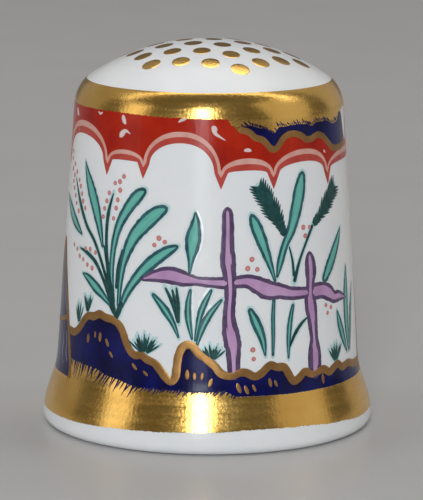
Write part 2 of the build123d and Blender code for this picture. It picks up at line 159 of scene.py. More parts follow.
def position(tree):
    """The place of each point."""
    return put(tree, "GeometryNodeInputPosition").outputs[0]


def new_tree(name, inputs):
    """A geometry tree with a geometry going in and out, and named inputs."""
    tree = bpy.data.node_groups.new(name, "GeometryNodeTree")
    tree.interface.new_socket("Geometry", in_out="INPUT", socket_type="NodeSocketGeometry")
    for label, kind in inputs:
        tree.interface.new_socket(label, in_out="INPUT", socket_type="NodeSocket" + kind)
    tree.interface.new_socket("Geometry", in_out="OUTPUT", socket_type="NodeSocketGeometry")
    return tree, tree.nodes.new("NodeGroupInput").outputs


def end_tree(tree, geometry, material):
    """The tree's last nodes: all made real, smooth but for its sharp edges, and of one material."""
    real = put(tree, "GeometryNodeRealizeInstances", {"Geometry": geometry}).outputs[0]
    smooth = put(tree, "GeometryNodeSetShadeSmooth", {"Geometry": real}).outputs[0]
    angle = put(tree, "GeometryNodeInputMeshEdgeAngle").outputs[0]
    sharp = put(tree, "FunctionNodeCompare", {0: angle, 1: SHARP_ANGLE},
                operation="GREATER_THAN").outputs[0]
    edged = put(tree, "GeometryNodeSetShadeSmooth",
                {"Geometry": smooth, "Selection": sharp, "Shade Smooth": False},
                domain="EDGE").outputs[0]
    done = put(tree, "GeometryNodeSetMaterial", {"Geometry": edged, "Material": material})
    tree.links.new(done.outputs[0], tree.nodes.new("NodeGroupOutput").inputs[0])


def baked(name, source, tree, values, material):
    """The mesh that a tree makes of a source object, as a plain object. The source goes."""
    bpy.context.scene.collection.objects.link(source)
    modifier = source.modifiers.new("make", "NODES")
    modifier.node_group = tree
    values = dict(values, Material=material)
    for item in tree.interface.items_tree:
        if item.item_type == "SOCKET" and item.in_out == "INPUT" and item.name in values:
            modifier[item.identifier] = values[item.name]
    bpy.context.view_layer.update()
    graph = bpy.context.evaluated_depsgraph_get()
    mesh = bpy.data.meshes.new_from_object(source.evaluated_get(graph))
    mesh.name = name
    bpy.data.objects.remove(source)
    piece = bpy.data.objects.new(name, mesh)
    bpy.context.scene.collection.objects.link(piece)
    return piece


def poly_curve(name, lines, lift=False):
    """A curve object of open lines: (x, y, width) places in millimetres, or (x, z) sections."""
    data = bpy.data.curves.new(name, "CURVE")
    data.dimensions = "3D"
    for line in lines:
        spline = data.splines.new("POLY")
        spline.points.add(len(line) - 1)
        for point, place in zip(spline.points, line):
            if lift:
                point.co = (place[0] * MM, 0, place[1] * MM, 1)
            else:
                point.co = (place[0] * MM, place[1] * MM, 0, 1)
                point.radius = place[2] * MM / 2
    return bpy.data.objects.new(name, data)


def turning_tree():
    """Turns a section in the XZ plane about Z, as a wheel does."""
    tree, given = new_tree("turn_on_wheel", [("Samples", "Int"), ("Segments", "Int"),
                                             ("Seam Gap", "Float"), ("Material", "Material")])
    rounds = plus(tree, given["Segments"], 1)
    grid = put(tree, "GeometryNodeMeshGrid", {"Size X": 1.0, "Size Y": 1.0, "Vertices X": rounds,
                                              "Vertices Y": given["Samples"]})
    across = split(tree, grid.outputs["UV Map"])
    on_line = put(tree, "GeometryNodeSampleCurve",
                  {"Curves": given["Geometry"], "Factor": across["Y"]}, mode="FACTOR")
    section = split(tree, on_line.outputs["Position"])
    turn = times(tree, across["X"], 2 * pi)
    x = times(tree, section["X"], maths(tree, "SINE", turn))
    y = times(tree, section["X"], maths(tree, "COSINE", turn))
    spot = joined(tree, x, y, section["Z"])
    turned = put(tree, "GeometryNodeSetPosition", {"Geometry": grid.outputs["Mesh"], "Position": spot})
    closed = put(tree, "GeometryNodeMergeByDistance",
                 {"Geometry": turned.outputs[0], "Distance": given["Seam Gap"]})
    end_tree(tree, closed.outputs[0], given["Material"])
    return tree


def shader(name, colour, rough, **settings):
    """A material with a Principled shader, and constants set on its own sockets."""
    material = bpy.data.materials.new(name)
    material.use_nodes = True
    material.node_tree.nodes.clear()
    tree = material.node_tree
    surface = tree.nodes.new("ShaderNodeBsdfPrincipled")
    surface.inputs["Base Color"].default_value = (*colour, 1)
    surface.inputs["Roughness"].default_value = rough
    for label, value in settings.items():
        surface.inputs[label.replace("_", " ")].default_value = value
    output = tree.nodes.new("ShaderNodeOutputMaterial")
    tree.links.new(surface.outputs[0], output.inputs[0])
    return material, tree, surface


def object_noise(tree, scale, detail=3.0, stretch=(1, 1, 1)):
    """Noise in the object's own coordinates, in cells per metre."""
    place = put(tree, "ShaderNodeTexCoord").outputs["Object"]
    placed = put(tree, "ShaderNodeMapping", {"Vector": place, "Scale": stretch}).outputs[0]
    return put(tree, "ShaderNodeTexNoise",
               {"Vector": placed, "Scale": scale, "Detail": detail}).outputs[0]


def tint(tree, surface, factor, low, high):
    """Colours a shader between two colours, by a factor."""
    made = put(tree, "ShaderNodeMix", data_type="RGBA")
    factor_in, low_in, high_in = made.inputs[0], made.inputs[6], made.inputs[7]
    tree.links.new(factor, factor_in)
    low_in.default_value = (*low, 1)
    high_in.default_value = (*high, 1)
    tree.links.new(made.outputs[2], surface.inputs["Base Color"])


def between(tree, value, low, high, new_low=0.0, new_high=1.0):
    """A number taken from one range to another, and kept inside it."""
    return put(tree, "ShaderNodeMapRange", {"Value": value, "From Min": low, "From Max": high,
                                            "To Min": new_low, "To Max": new_high}).outputs[0]


def bump(tree, surface, height, distance, strength=1.0):
    """A fine relief on a shader."""
    made = put(tree, "ShaderNodeBump",
               {"Height": height, "Distance": distance, "Strength": strength})
    tree.links.new(made.outputs[0], surface.inputs["Normal"])


def glazed_china():
    """White bone china under a clear glaze, with faint clouds in the body and ripples on top."""
    material, tree, surface = shader("glazed_china", (0.86, 0.86, 0.85), 0.10, Subsurface_Weight=0.25,
                                     Subsurface_Scale=0.0006, IOR=1.52, Specular_IOR_Level=0.17)
    surface.inputs["Subsurface Radius"].default_value = (1.0, 0.85, 0.7)
    clouds = between(tree, object_noise(tree, 260, 4.0), 0.3, 0.7)
    tint(tree, surface, clouds, (0.845, 0.855, 0.875), (0.885, 0.885, 0.88))
    tree.links.new(between(tree, object_noise(tree, 900), 0.3, 0.7, 0.18, 0.26),
                   surface.inputs["Roughness"])
    bump(tree, surface, object_noise(tree, 420, 2.0), 0.00002, 0.35)
    return material


china = baked("china_body_glazed", poly_curve("china_section", [china_section], lift=True),
              turning_tree(), {"Samples": CHINA_SAMPLES, "Segments": CHINA_SEGMENTS,
                               "Seam Gap": SEAM_GAP}, glazed_china())
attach(china, "root")
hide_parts("china_body")

# ---- The cobalt rocks and cloud ------------------------------------------------------------------
# Cobalt oxide brushed on in wet, heavy strokes, so it fires to an uneven near-black blue. The rocks
# stand on the foot band, the cloud hangs from the shoulder band, and both end in hairs of the brush.

RING = 10.4                  # places on the wall are (distance round this ring, height)
HALF_TURN = pi * RING        # the garden is painted twice round
REACH = 30 * MM              # from the axis to clear of the wall
COLUMN_STEP = 0.07           # between the columns of a flat area
SINK = 0.03 * MM             # how far a coat's underside lies in the china, so that it never gapes
COBALT_COAT = 0.012 * MM
HAIR_COAT = 0.024 * MM
# Upper and lower edges of the rocks, then of the cloud, as (place, height)
ROCK_EDGE = [(-12.2, 7.6), (-11.3, 7.5), (-10.6, 7.9), (-10.0, 8.6), (-9.5, 9.0), (-8.9, 9.05),
             (-8.3, 9.3), (-7.7, 9.15), (-7.1, 9.1), (-6.6, 8.9), (-6.2, 8.45), (-5.9, 7.8),
             (-5.5, 7.1), (-5.1, 6.8), (-4.6, 6.85), (-4.2, 6.6), (-3.6, 6.35), (-3.2, 5.9),
             (-2.8, 5.4), (-2.45, 5.15), (-2.15, 5.45), (-2.05, 6.2), (-1.95, 7.0), (-1.7, 7.6),
             (-1.35, 7.8), (-1.0, 7.7), (-0.6, 7.2), (0.0, 6.75), (0.5, 6.3), (0.9, 5.8), (1.5, 5.6),
             (2.1, 5.8), (2.6, 5.8), (3.2, 5.5), (3.7, 5.7), (4.3, 6.2), (4.8, 6.05), (5.4, 5.95),
             (5.75, 5.4), (6.1, 4.9), (6.6, 5.1), (7.1, 5.45), (7.7, 5.2), (8.3, 5.3), (8.9, 5.35),
             (9.5, 5.05), (10.0, 5.25), (10.6, 5.45), (11.2, 5.1), (12.2, 5.2), (13.5, 4.9),
             (15.5, 4.9)]
ROCK_FOOT = [(-12.2, 5.6), (-10.6, 5.4), (-8.6, 5.3), (-7.0, 4.9), (-4.6, 4.45), (-3.0, 4.45),
             (-1.0, 4.35), (1.2, 4.4), (2.0, 4.05), (6.0, 3.98), (10.0, 3.95), (15.5, 3.95)]
CLOUD_EDGE = [(2.2, 22.8), (3.0, 22.6), (3.5, 22.2), (4.1, 22.0), (4.8, 21.35), (5.3, 21.45),
              (5.9, 22.1), (6.7, 22.3), (7.5, 22.1), (8.0, 21.8), (8.6, 21.8), (9.3, 22.0),
              (10.0, 21.8), (10.7, 21.3), (11.3, 20.9), (12.1, 20.75), (13.3, 20.8), (14.3, 21.1)]
CLOUD_TOP = [(2.2, 23.05), (3.0, 23.1), (4.2, 22.85), (5.0, 22.5), (5.5, 22.9), (7.0, 22.98),
             (8.0, 22.95), (8.6, 22.75), (9.3, 22.95), (10.5, 22.95), (11.6, 22.6), (12.4, 22.7),
             (13.0, 23.3), (13.5, 23.2), (14.3, 21.3)]
# Hairs: first and last place, how far above the edge, length, lean in degrees, distance apart
ROCK_HAIRS = [(-11.7, -8.7, 0.3, 1.45, 192, 0.22), (-8.6, -5.0, 0.25, 1.2, 212, 0.24),
              (-4.9, 1.9, 0.15, 0.6, 215, 0.22)]
CLOUD_HAIRS = [(2.6, 12.6, -0.08, 0.42, -38, 0.19)]
HAIR_WIDTHS = (0.14, 0.21)
HAIR_LENGTHS = (0.6, 1.15)   # least and most, of the length given
HAIR_SWAY = 9                # degrees a hair strays from the lean given
HAIR_STRAY = 0.05            # how far a hair's root strays from the edge
HAIR_TIP = 0.03
STROKE_RIPPLE = 2600.0       # ripples in a stroke's width, in cells per metre
ROUND_END = 1.02             # a little over 1, so that a stroke's very end keeps some width


def smooth_height(edge, s):
    """The height of a line of places at s, eased from place to place."""
    for (s0, z0), (s1, z1) in zip(edge, edge[1:]):
        if s <= s1:
            t = max(0.0, (s - s0) / (s1 - s0))
            return z0 + (z1 - z0) * t * t * (3 - 2 * t)
    return edge[-1][1]


def slab(columns, rows):
    """A closed flat slab: columns of (s, low, high, rise), as an object of (s, z, rise) places."""
    points, faces = [], []
    for s, low, high, rise in columns:
        for side in (rise, -SINK / MM):
            for row in range(rows + 1):
                points.append((s * MM, (low + (high - low) * row / rows) * MM, side * MM))
    face, column = rows + 1, 2 * (rows + 1)
    for index in range(len(columns) - 1):
        at = index * column
        for row in range(rows):
            a, b = at + row, at + row + 1
            faces.append((a, a + column, b + column, b))
            a, b = a + face, b + face
            faces.append((a, b, b + column, a + column))
        faces.append((at, at + face, at + face + column, at + column))
        top = at + rows
        faces.append((top, top + column, top + face + column, top + face))
    for at, flip in ((0, False), ((len(columns) - 1) * column, True)):
        for row in range(rows):
            side = (at + row, at + row + 1, at + row + 1 + face, at + row + face)
            faces.append(side[::-1] if flip else side)
    mesh = bpy.data.meshes.new("slab")
    mesh.from_pydata(points, [], faces)
    return bpy.data.objects.new("slab", mesh)


def spread(first, last, step):
    """Evenly spaced values from first to last, about a step apart."""
    count = max(1, round((last - first) / step))
    return [first + (last - first) * index / count for index in range(count + 1)]


def merged(name, objects):
    """Several mesh objects as one, before they are laid on the wall."""
    points, faces = [], []
    for item in objects:
        start = len(points)
        points += [vertex.co[:] for vertex in item.data.vertices]
        faces += [[start + index for index in face.vertices] for face in item.data.polygons]
        bpy.data.objects.remove(item)
    mesh = bpy.data.meshes.new(name)
    mesh.from_pydata(points, [], faces)
    return bpy.data.objects.new(name, mesh)


def laying(name, aim):
    """A function that lays a flat drawing on the china inside a tree, along rays that aim gives."""
    group, given = new_tree(name, [("China", "Object")])
    place = split(group, position(group))
    start, towards, reach = aim(group, place)
    wall = put(group, "GeometryNodeObjectInfo", {"Object": given["China"]})
    ray = put(group, "GeometryNodeRaycast",
              {"Target Geometry": wall.outputs["Geometry"], "Source Position": start,
               "Ray Direction": towards, "Ray Length": reach})
    lift = vector_times(group, ray.outputs["Hit Normal"], place["Z"])
    spot = vector_plus(group, ray.outputs["Hit Position"], lift)
    laid = put(group, "GeometryNodeSetPosition", {"Geometry": given["Geometry"], "Position": spot})
    group.links.new(laid.outputs[0], group.nodes.new("NodeGroupOutput").inputs[0])

    def lay(tree, geometry, china_socket):
        node = put(tree, "GeometryNodeGroup", node_tree=group)
        tree.links.new(geometry, node.inputs["Geometry"])
        tree.links.new(china_socket, node.inputs["China"])
        return node.outputs[0]

    return lay


def from_all_round(tree, place):
    """Rays to the axis from all round, for a drawing of (s, z, rise) places on the wall."""
    angle = maths(tree, "DIVIDE", place["X"], RING * MM)
    outward = joined(tree, maths(tree, "SINE", angle),
                     times(tree, maths(tree, "COSINE", angle), -1.0), 0.0)
    start = vector_plus(tree, vector_times(tree, outward, REACH), joined(tree, 0.0, 0.0, place["Y"]))
    return start, vector_times(tree, outward, -1.0), REACH


lay_on_wall = laying("lay_on_wall", from_all_round)


def wash_tree():
    """A flat slab of colour laid on the wall."""
    tree, given = new_tree("lay_wash", [("China", "Object"), ("Material", "Material")])
    end_tree(tree, lay_on_wall(tree, given["Geometry"], given["China"]), given["Material"])
    return tree


def stored(tree, geometry, label, value, kind="FLOAT"):
    """The geometry with a value kept on its points."""
    return put(tree, "GeometryNodeStoreNamedAttribute",
               {"Geometry": geometry, "Name": label, "Value": value}, data_type=kind).outputs[0]


def kept(tree, label, kind="FLOAT"):
    """A value kept on the points."""
    return put(tree, "GeometryNodeInputNamedAttribute", {"Name": label}, data_type=kind).outputs[0]


def arched(tree, up, coat):
    """How far a coat rises at up, which goes from -1 on its underside to 1 on its top."""
    over = times(tree, maths(tree, "SQRT", maths(tree, "MAXIMUM", up, 0.0)), coat)
    return plus(tree, over, times(tree, maths(tree, "MINIMUM", up, 0.0), SINK))


def stroke_tree():
    """Brush strokes along lines: a low arched ribbon, round at its ends, as wide as the radius."""
    tree, given = new_tree("brush_strokes", [("China", "Object"), ("Coat", "Float"), ("Step", "Float"),
                                             ("Wobble", "Float"), ("Sides", "Int"),
                                             ("Material", "Material")])
    eased = put(tree, "GeometryNodeCurveSplineType", {"Curve": given["Geometry"]},
                spline_type="CATMULL_ROM")
    line = put(tree, "GeometryNodeResampleCurve",
               {"Curve": eased.outputs[0], "Length": given["Step"]}, mode="LENGTH").outputs[0]
    spot = position(tree)
    sideways = put(tree, "ShaderNodeVectorMath",
                   {0: (0, 0, 1), 1: put(tree, "GeometryNodeInputTangent").outputs[0]},
                   operation="CROSS_PRODUCT").outputs[0]
    ripple = put(tree, "ShaderNodeTexNoise",
                 {"Vector": spot, "Scale": STROKE_RIPPLE, "Detail": 2.0}).outputs[0]
    swell = maths(tree, "MULTIPLY_ADD", maths(tree, "SUBTRACT", ripple, 0.5), given["Wobble"], 1.0)
    wide = times(tree, put(tree, "GeometryNodeInputRadius").outputs[0], swell)
    along = put(tree, "GeometryNodeSplineParameter").outputs
    whole = put(tree, "GeometryNodeSplineLength").outputs["Length"]
    to_end = maths(tree, "MINIMUM", along["Length"], maths(tree, "SUBTRACT", whole, along["Length"]))
    from_end = maths(tree, "MINIMUM", maths(tree, "DIVIDE", to_end, wide), 1.0)
    short = maths(tree, "SUBTRACT", 1.0, from_end)
    round_end = maths(tree, "SQRT",
                      maths(tree, "SUBTRACT", ROUND_END, times(tree, short, short)))
    half = times(tree, wide, round_end)
    chance = put(tree, "FunctionNodeRandomValue", {"Seed": 5}).outputs[1]
    load = put(tree, "GeometryNodeFieldOnDomain", {0: chance}, domain="CURVE").outputs[0]
    for label, value, kind in (("spot", spot, "FLOAT_VECTOR"), ("sideways", sideways, "FLOAT_VECTOR"),
                               ("half", half, "FLOAT"), ("along", along["Factor"], "FLOAT"),
                               ("load", load, "FLOAT")):
        line = stored(tree, line, label, value, kind)
    profile = put(tree, "GeometryNodeCurvePrimitiveCircle",
                  {"Resolution": given["Sides"], "Radius": 1.0}).outputs[0]
    place = split(tree, position(tree))
    for label, value in (("across", place["X"]), ("up", place["Y"])):
        profile = stored(tree, profile, label, value)
    ribbon = put(tree, "GeometryNodeCurveToMesh",
                 {"Curve": line, "Profile Curve": profile, "Fill Caps": True}).outputs[0]
    rise = arched(tree, kept(tree, "up"), given["Coat"])
    out = vector_times(tree, kept(tree, "sideways", "FLOAT_VECTOR"),
                       times(tree, kept(tree, "across"), kept(tree, "half")))
    flat = vector_plus(tree, vector_plus(tree, kept(tree, "spot", "FLOAT_VECTOR"), out),
                       joined(tree, 0.0, 0.0, rise))
    pressed = put(tree, "GeometryNodeSetPosition", {"Geometry": ribbon, "Position": flat}).outputs[0]
    for label in ("spot", "sideways", "half", "up"):
        pressed = put(tree, "GeometryNodeRemoveAttribute",
                      {"Geometry": pressed, "Name": label}).outputs[0]
    end_tree(tree, lay_on_wall(tree, pressed, given["China"]), given["Material"])
    return tree


washes = wash_tree()
strokes = stroke_tree()


def both(lines):
    """The same lines on the front and, half a turn on, on the back."""
    again = [[(place[0] + HALF_TURN, *place[1:]) for place in line] for line in lines]
    return list(lines) + again


def painted(name, lines, material, coat, step=0.09, wobble=0.12, sides=10):
    """Brush strokes on both sides of the thimble as one piece."""
    values = {"China": china, "Coat": coat, "Step": step * MM, "Wobble": wobble, "Sides": sides}
    return baked(name, poly_curve(name, both(lines)), strokes, values, material)


def washed(name, columns, material, rows):
    """A flat area of colour on both sides of the thimble as one piece."""
    again = [(s + HALF_TURN, *rest) for s, *rest in columns]
    slabs = merged(name, [slab(columns, rows), slab(again, rows)])
    return baked(name, slabs, washes, {"China": china}, material)


def area_columns(low, high, span, coat):
    """Columns for a slab between two heights, each given by a function of the place."""
    return [(s, low(s), high(s), coat / MM) for s in spread(*span, COLUMN_STEP)]


def hairs(edge, rows, seed):
    """Short tapering strokes along an edge, as a dry brush leaves them."""
    chance = random.Random(seed)
    lines = []
    for first, last, lift, length, lean, apart in rows:
        for s in spread(first, last, apart):
            reach = length * chance.uniform(*HAIR_LENGTHS)
            turn = radians(lean + chance.uniform(-HAIR_SWAY, HAIR_SWAY))
            stray = chance.uniform(-HAIR_STRAY, HAIR_STRAY)
            root = (s, smooth_height(edge, s) + lift + stray)
            tip = (root[0] + reach * sin(turn), root[1] + reach * cos(turn))
            middle = ((root[0] + tip[0]) / 2 + chance.uniform(-0.03, 0.03), (root[1] + tip[1]) / 2)
            width = chance.uniform(*HAIR_WIDTHS)
            lines.append([(*root, width), (*middle, width * 0.85), (*tip, HAIR_TIP)])
    return lines


def cobalt_blue():
    """Deep cobalt, thin and brighter where the brush skimmed, near black where it pooled."""
    material, tree, surface = shader("cobalt_blue", (0.006, 0.010, 0.11), 0.16, IOR=1.5,
                                     Specular_IOR_Level=0.16)
    pools = between(tree, object_noise(tree, 700, 5.0, (1, 1, 0.6)), 0.36, 0.66)
    tint(tree, surface, pools, (0.003, 0.003, 0.035), (0.006, 0.008, 0.105))
    bump(tree, surface, object_noise(tree, 1500, 2.0), 0.00001, 0.4)
    return material


cobalt = cobalt_blue()
rocks = area_columns(lambda s: smooth_height(ROCK_FOOT, s), lambda s: smooth_height(ROCK_EDGE, s),
                     (ROCK_EDGE[0][0], ROCK_EDGE[-1][0]), COBALT_COAT)
cloud = area_columns(lambda s: smooth_height(CLOUD_EDGE, s), lambda s: smooth_height(CLOUD_TOP, s),
                     (CLOUD_EDGE[0][0], CLOUD_EDGE[-1][0]), COBALT_COAT)
cobalt_rocks = washed("cobalt_rocks", rocks, cobalt, rows=8)
rock_hairs = painted("cobalt_rock_hairs", hairs(ROCK_FOOT, ROCK_HAIRS, seed=3), cobalt, HAIR_COAT,
                     sides=8)
cobalt_cloud = washed("cobalt_cloud", cloud, cobalt, rows=6)
cloud_hairs = painted("cobalt_cloud_hairs", hairs(CLOUD_TOP, CLOUD_HAIRS, seed=4), cobalt, HAIR_COAT,
                      sides=8)
for piece in (cobalt_rocks, rock_hairs, cobalt_cloud, cloud_hairs):
    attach(piece, "root")
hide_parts("lower_cobalt_rocks")
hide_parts("upper_cobalt_cloud")

# ---- The scalloped red border --------------------------------------------------------------------
# Iron red washed on over the glaze down to a row of arches, with a pale line and a red line below it.
# It is the first enamel to be laid, and the gilding goes over its upper edge.

BORDER_COAT = 0.011 * MM
BARE_COAT = 0.016 * MM
BORDER_STEP = 0.05
RED_TOP = 23.75              # the gold of the shoulder band covers the red from a little below this
WHITE_GAP = (14.3, 15.6)     # bare china between one border and the next
GAP_TOP = 21.0               # height of the red at the gap's foot
GAP_CURVE = 5                # the higher, the squarer the gap's corner
ARCH_CURVE = 2.1             # 2 is an ellipse, more is squarer
TURN = (WHITE_GAP[1] - HALF_TURN, WHITE_GAP[1])      # one garden, from gap to gap
# Ends of the arches, and the height of the red's points there
CUSPS = [(-15.0, 20.15), (-8.3, 20.2), (-4.95, 20.25), (0.9, 19.7), (4.9, 19.6), (10.4, 19.4),
         (HALF_TURN - 15.0, 20.15)]
# Tops of each arch: the red's edge, the pale line's lower edge and the red line's lower edge
ARCH_TOPS = [(22.62, 22.2, 21.7), (21.08, 20.78, 20.35), (22.6, 22.24, 21.8), (20.75, 20.35, 19.9),
             (21.12, 20.75, 20.25), (20.6, 20.2, 19.75)]
# For each of the three edges: how far an arch's foot stands in, its height and the drop of its point
FOOT_INSETS = (0.0, 0.24, 0.5)
FOOT_LIFTS = (0.0, 0.1, 0.05)
POINT_DROPS = (0.0, 0.28, 1.1)
# Bare strokes left in the red: commas, dashes and dots as lines of (place, height, width)
BARE_STROKES = [
    [(-6.95, 23.5, 0.3), (-6.8, 23.1, 0.42), (-6.6, 22.85, 0.12)],
    [(-7.15, 21.9, 0.25), (-6.95, 22.15, 0.5), (-6.6, 22.4, 0.3), (-6.15, 22.2, 0.06)],
    [(0.25, 23.05, 0.3), (0.42, 22.8, 0.52), (0.5, 22.5, 0.3), (1.25, 22.02, 0.06)],
    [(2.6, 21.28, 0.16), (2.9, 21.33, 0.32), (3.2, 21.25, 0.16)],
    [(-2.3, 23.25, 0.1), (-1.95, 23.45, 0.28), (-1.6, 23.6, 0.2)],
    [(10.0, 20.85, 0.1), (10.1, 20.7, 0.2), (10.25, 20.6, 0.06)],
    [(-13.6, 23.3, 0.3), (-13.3, 23.0, 0.45), (-13.0, 22.8, 0.12)],
    [(-9.7, 23.5, 0.1), (-9.4, 23.35, 0.2), (-9.1, 23.5, 0.1)],
]


def border_height(edge, s):
    """Height at s of one of the border's three edges, from the red's down to the red line's."""
    if s < CUSPS[0][0]:
        s += HALF_TURN
    for (s0, z0), (s1, z1), tops in zip(CUSPS, CUSPS[1:], ARCH_TOPS):
        if s > s1:
            continue
        half = (s1 - s0) / 2
        off = abs(s - (s0 + s1) / 2)
        reach = half - FOOT_INSETS[edge]
        cusp = z0 + (z1 - z0) * (s - s0) / (s1 - s0)
        foot = cusp + FOOT_LIFTS[edge]
        if off < reach:
            return foot + (tops[edge] - foot) * (1 - (off / reach) ** ARCH_CURVE) ** 0.5
        point = cusp - POINT_DROPS[edge]
        return foot + (point - foot) * (off - reach) / max(FOOT_INSETS[edge], 0.001)
    return CUSPS[-1][1]


def ground_top(s):
    """Upper edge of the red: under the gold, at the cloud's edge, or along the gap."""
    if CLOUD_EDGE[0][0] < s < WHITE_GAP[0]:
        return smooth_height(CLOUD_EDGE, s)
    if WHITE_GAP[0] <= s < WHITE_GAP[1]:
        share = (s - WHITE_GAP[0]) / (WHITE_GAP[1] - WHITE_GAP[0])
        return GAP_TOP + (RED_TOP - GAP_TOP) * share ** GAP_CURVE
    return RED_TOP


def fired_surface(tree, surface):
    """The very fine unevenness of enamel that has melted in the kiln."""
    bump(tree, surface, object_noise(tree, 3000, 2.0), 0.000012, 0.4)


def enamel(name, deep, pale, scale, stretch=(1, 1, 1), rough=0.16):
    """A glossy enamel between two tones, as a loaded brush leaves it."""
    material, tree, surface = shader(name, deep, rough, IOR=1.5, Specular_IOR_Level=0.17)
    broad = object_noise(tree, scale, 4.0, stretch)
    tint(tree, surface, between(tree, broad, 0.32, 0.68), deep, pale)
    tree.links.new(between(tree, object_noise(tree, 2200), 0.3, 0.7, rough * 0.8, rough * 1.5),
                   surface.inputs["Roughness"])
    fired_surface(tree, surface)
    return material


def border_columns(low_edge, top):
    """Columns from one of the border's edges up to a height that a function of the place gives."""
    return [(s, border_height(low_edge, s), top(s), BORDER_COAT / MM)
            for s in spread(*TURN, BORDER_STEP)]


iron_red = enamel("iron_red", (0.33, 0.010, 0.005), (0.50, 0.026, 0.007), 420, (1, 1, 0.7))
pale_red = enamel("pale_red_wash", (0.66, 0.33, 0.27), (0.74, 0.42, 0.36), 900, rough=0.2)
line_red = enamel("red_line_colour", (0.46, 0.055, 0.040), (0.55, 0.085, 0.065), 900, rough=0.2)
bare_white = enamel("bare_white", (0.70, 0.55, 0.52), (0.80, 0.68, 0.65), 1200, rough=0.2)

red_ground = washed("red_border", border_columns(0, ground_top), iron_red, rows=14)
pale_line = border_columns(1, lambda s: border_height(0, s))
pink_border = washed("pale_border_line", pale_line, pale_red, rows=2)
red_line = border_columns(2, lambda s: border_height(1, s))
red_border = washed("red_border_line", red_line, line_red, rows=2)
bare = painted("bare_strokes_in_red", BARE_STROKES, bare_white, BARE_COAT, wobble=0.2)
for piece, paint, node in ((red_ground, "red_enamel", "red_scallop_ground"),
                           (pink_border, "pink_enamel", "pink_scallop_line"),
                           (red_border, "red_enamel", "red_scallop_line")):
    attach(piece, "root")
    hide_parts(node)
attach(bare, "root")

# ---- The lilac fence -----------------------------------------------------------------------------
# Two wavy posts and a rail, filled in with thin lilac enamel and drawn round in dark purple with a
# loaded liner brush. The posts are painted over the rail.

FENCE_COAT = 0.014 * MM
FENCE_LAYER = 0.0025 * MM    # each of the fence's four coats stands this much over the last
RAIL_RIMS = (0.17, -0.04)    # how far the purple line stands out from a rail, and the lilac in
POST_RIMS = (0.11, -0.13)
LEAST_WIDTH = 0.03
THIN_RIM = 0.35              # share of its rim that a stroke keeps however thin it is
# Posts and rails as lines of (place, height, width)
POSTS = [
    [(1.35, 17.3, 0.25), (1.38, 16.9, 0.6), (1.4, 15.9, 0.66), (1.38, 14.8, 0.7), (1.4, 13.5, 0.88),
     (1.52, 12.4, 0.72), (1.55, 11.2, 0.62), (1.45, 9.8, 0.66), (1.55, 8.7, 0.92), (1.7, 7.8, 0.98),
     (1.75, 6.8, 0.75), (1.78, 5.34, 0.6)],
    [(7.9, 13.75, 0.25), (7.92, 13.3, 0.7), (7.98, 12.4, 0.9), (7.88, 11.5, 0.62), (7.82, 10.5, 0.85),
     (7.92, 9.4, 0.9), (8.0, 8.4, 0.68), (8.05, 7.6, 0.6), (8.05, 6.5, 1.05), (8.02, 4.85, 0.9)],
]
RAILS = [
    [(-4.7, 12.15, 0.1), (-3.7, 12.45, 0.6), (-2.7, 12.55, 0.9), (-1.7, 12.35, 0.78),
     (-0.7, 12.2, 0.42), (0.2, 12.12, 0.48), (1.5, 12.05, 0.6)],
    [(1.5, 12.05, 0.5), (2.7, 12.15, 0.62), (3.5, 11.85, 0.92), (4.3, 11.45, 1.08),
     (5.2, 11.3, 0.8), (6.2, 11.05, 0.62), (7.9, 10.95, 0.5)],
    [(7.9, 10.9, 0.85), (9.1, 10.92, 0.92), (9.9, 10.6, 0.85), (10.5, 10.22, 0.6),
     (11.2, 10.18, 0.52), (11.8, 10.05, 0.3), (12.3, 9.9, 0.08)],
]


def rimmed(lines, rim):
    """The same strokes grown all round by a rim, or shrunk if it is below 0, less where thin."""
    grown = []
    for line in lines:
        wider = [(s, z, max(LEAST_WIDTH, width + 2 * rim * min(1, THIN_RIM + width)))
                 for s, z, width in line]
        for end, inner in ((0, 1), (-1, -2)):
            place, last = Vector(line[end][:2]), Vector(line[inner][:2])
            wider[end] = (*(place + (place - last).normalized() * rim), wider[end][2])
        grown.append(wider)
    return grown


lilac = enamel("lilac_enamel", (0.47, 0.26, 0.47), (0.60, 0.38, 0.60), 700, (1, 1, 0.5), 0.2)
purple = enamel("purple_liner", (0.080, 0.048, 0.110), (0.140, 0.090, 0.175), 1500, rough=0.22)
rail_lines = painted("rail_lines", rimmed(RAILS, RAIL_RIMS[0]), purple, FENCE_COAT, wobble=0.3)
fence_rails = painted("fence_rails", rimmed(RAILS, RAIL_RIMS[1]), lilac, FENCE_COAT + FENCE_LAYER)
post_lines = painted("post_lines", rimmed(POSTS, POST_RIMS[0]), purple, FENCE_COAT + 2 * FENCE_LAYER,
                     wobble=0.3)
fence_posts = painted("fence_posts", rimmed(POSTS, POST_RIMS[1]), lilac, FENCE_COAT + 3 * FENCE_LAYER)
for piece, paint, node in ((fence_rails, "lilac_enamel", "fence_rails"),
                           (fence_posts, "lilac_enamel", "fence_posts"),
                           (post_lines, "purple_enamel", "fence_outlines")):
    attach(piece, "root")
    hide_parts(node)
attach(rail_lines, "root")

# ---- The plants ----------------------------------------------------------------------------------
# Leaves in translucent turquoise over a dark green drawing, which bled a little into the glaze when
# it was fired. Feathery leaves and grass are the same dark green, flicked on with a pointed brush.

BLEED_COAT = 0.004 * MM
LINER_COAT = 0.010 * MM
LEAF_COAT = 0.013 * MM
STEM_COAT = 0.017 * MM
TUFT_COAT = 0.019 * MM       # feathers and grass
LEAF_RIMS = (0.07, -0.16)    # how far the dark line stands out from a leaf, and the turquoise in
LEAF_BLEED = 0.24            # how far the colour bled round a leaf
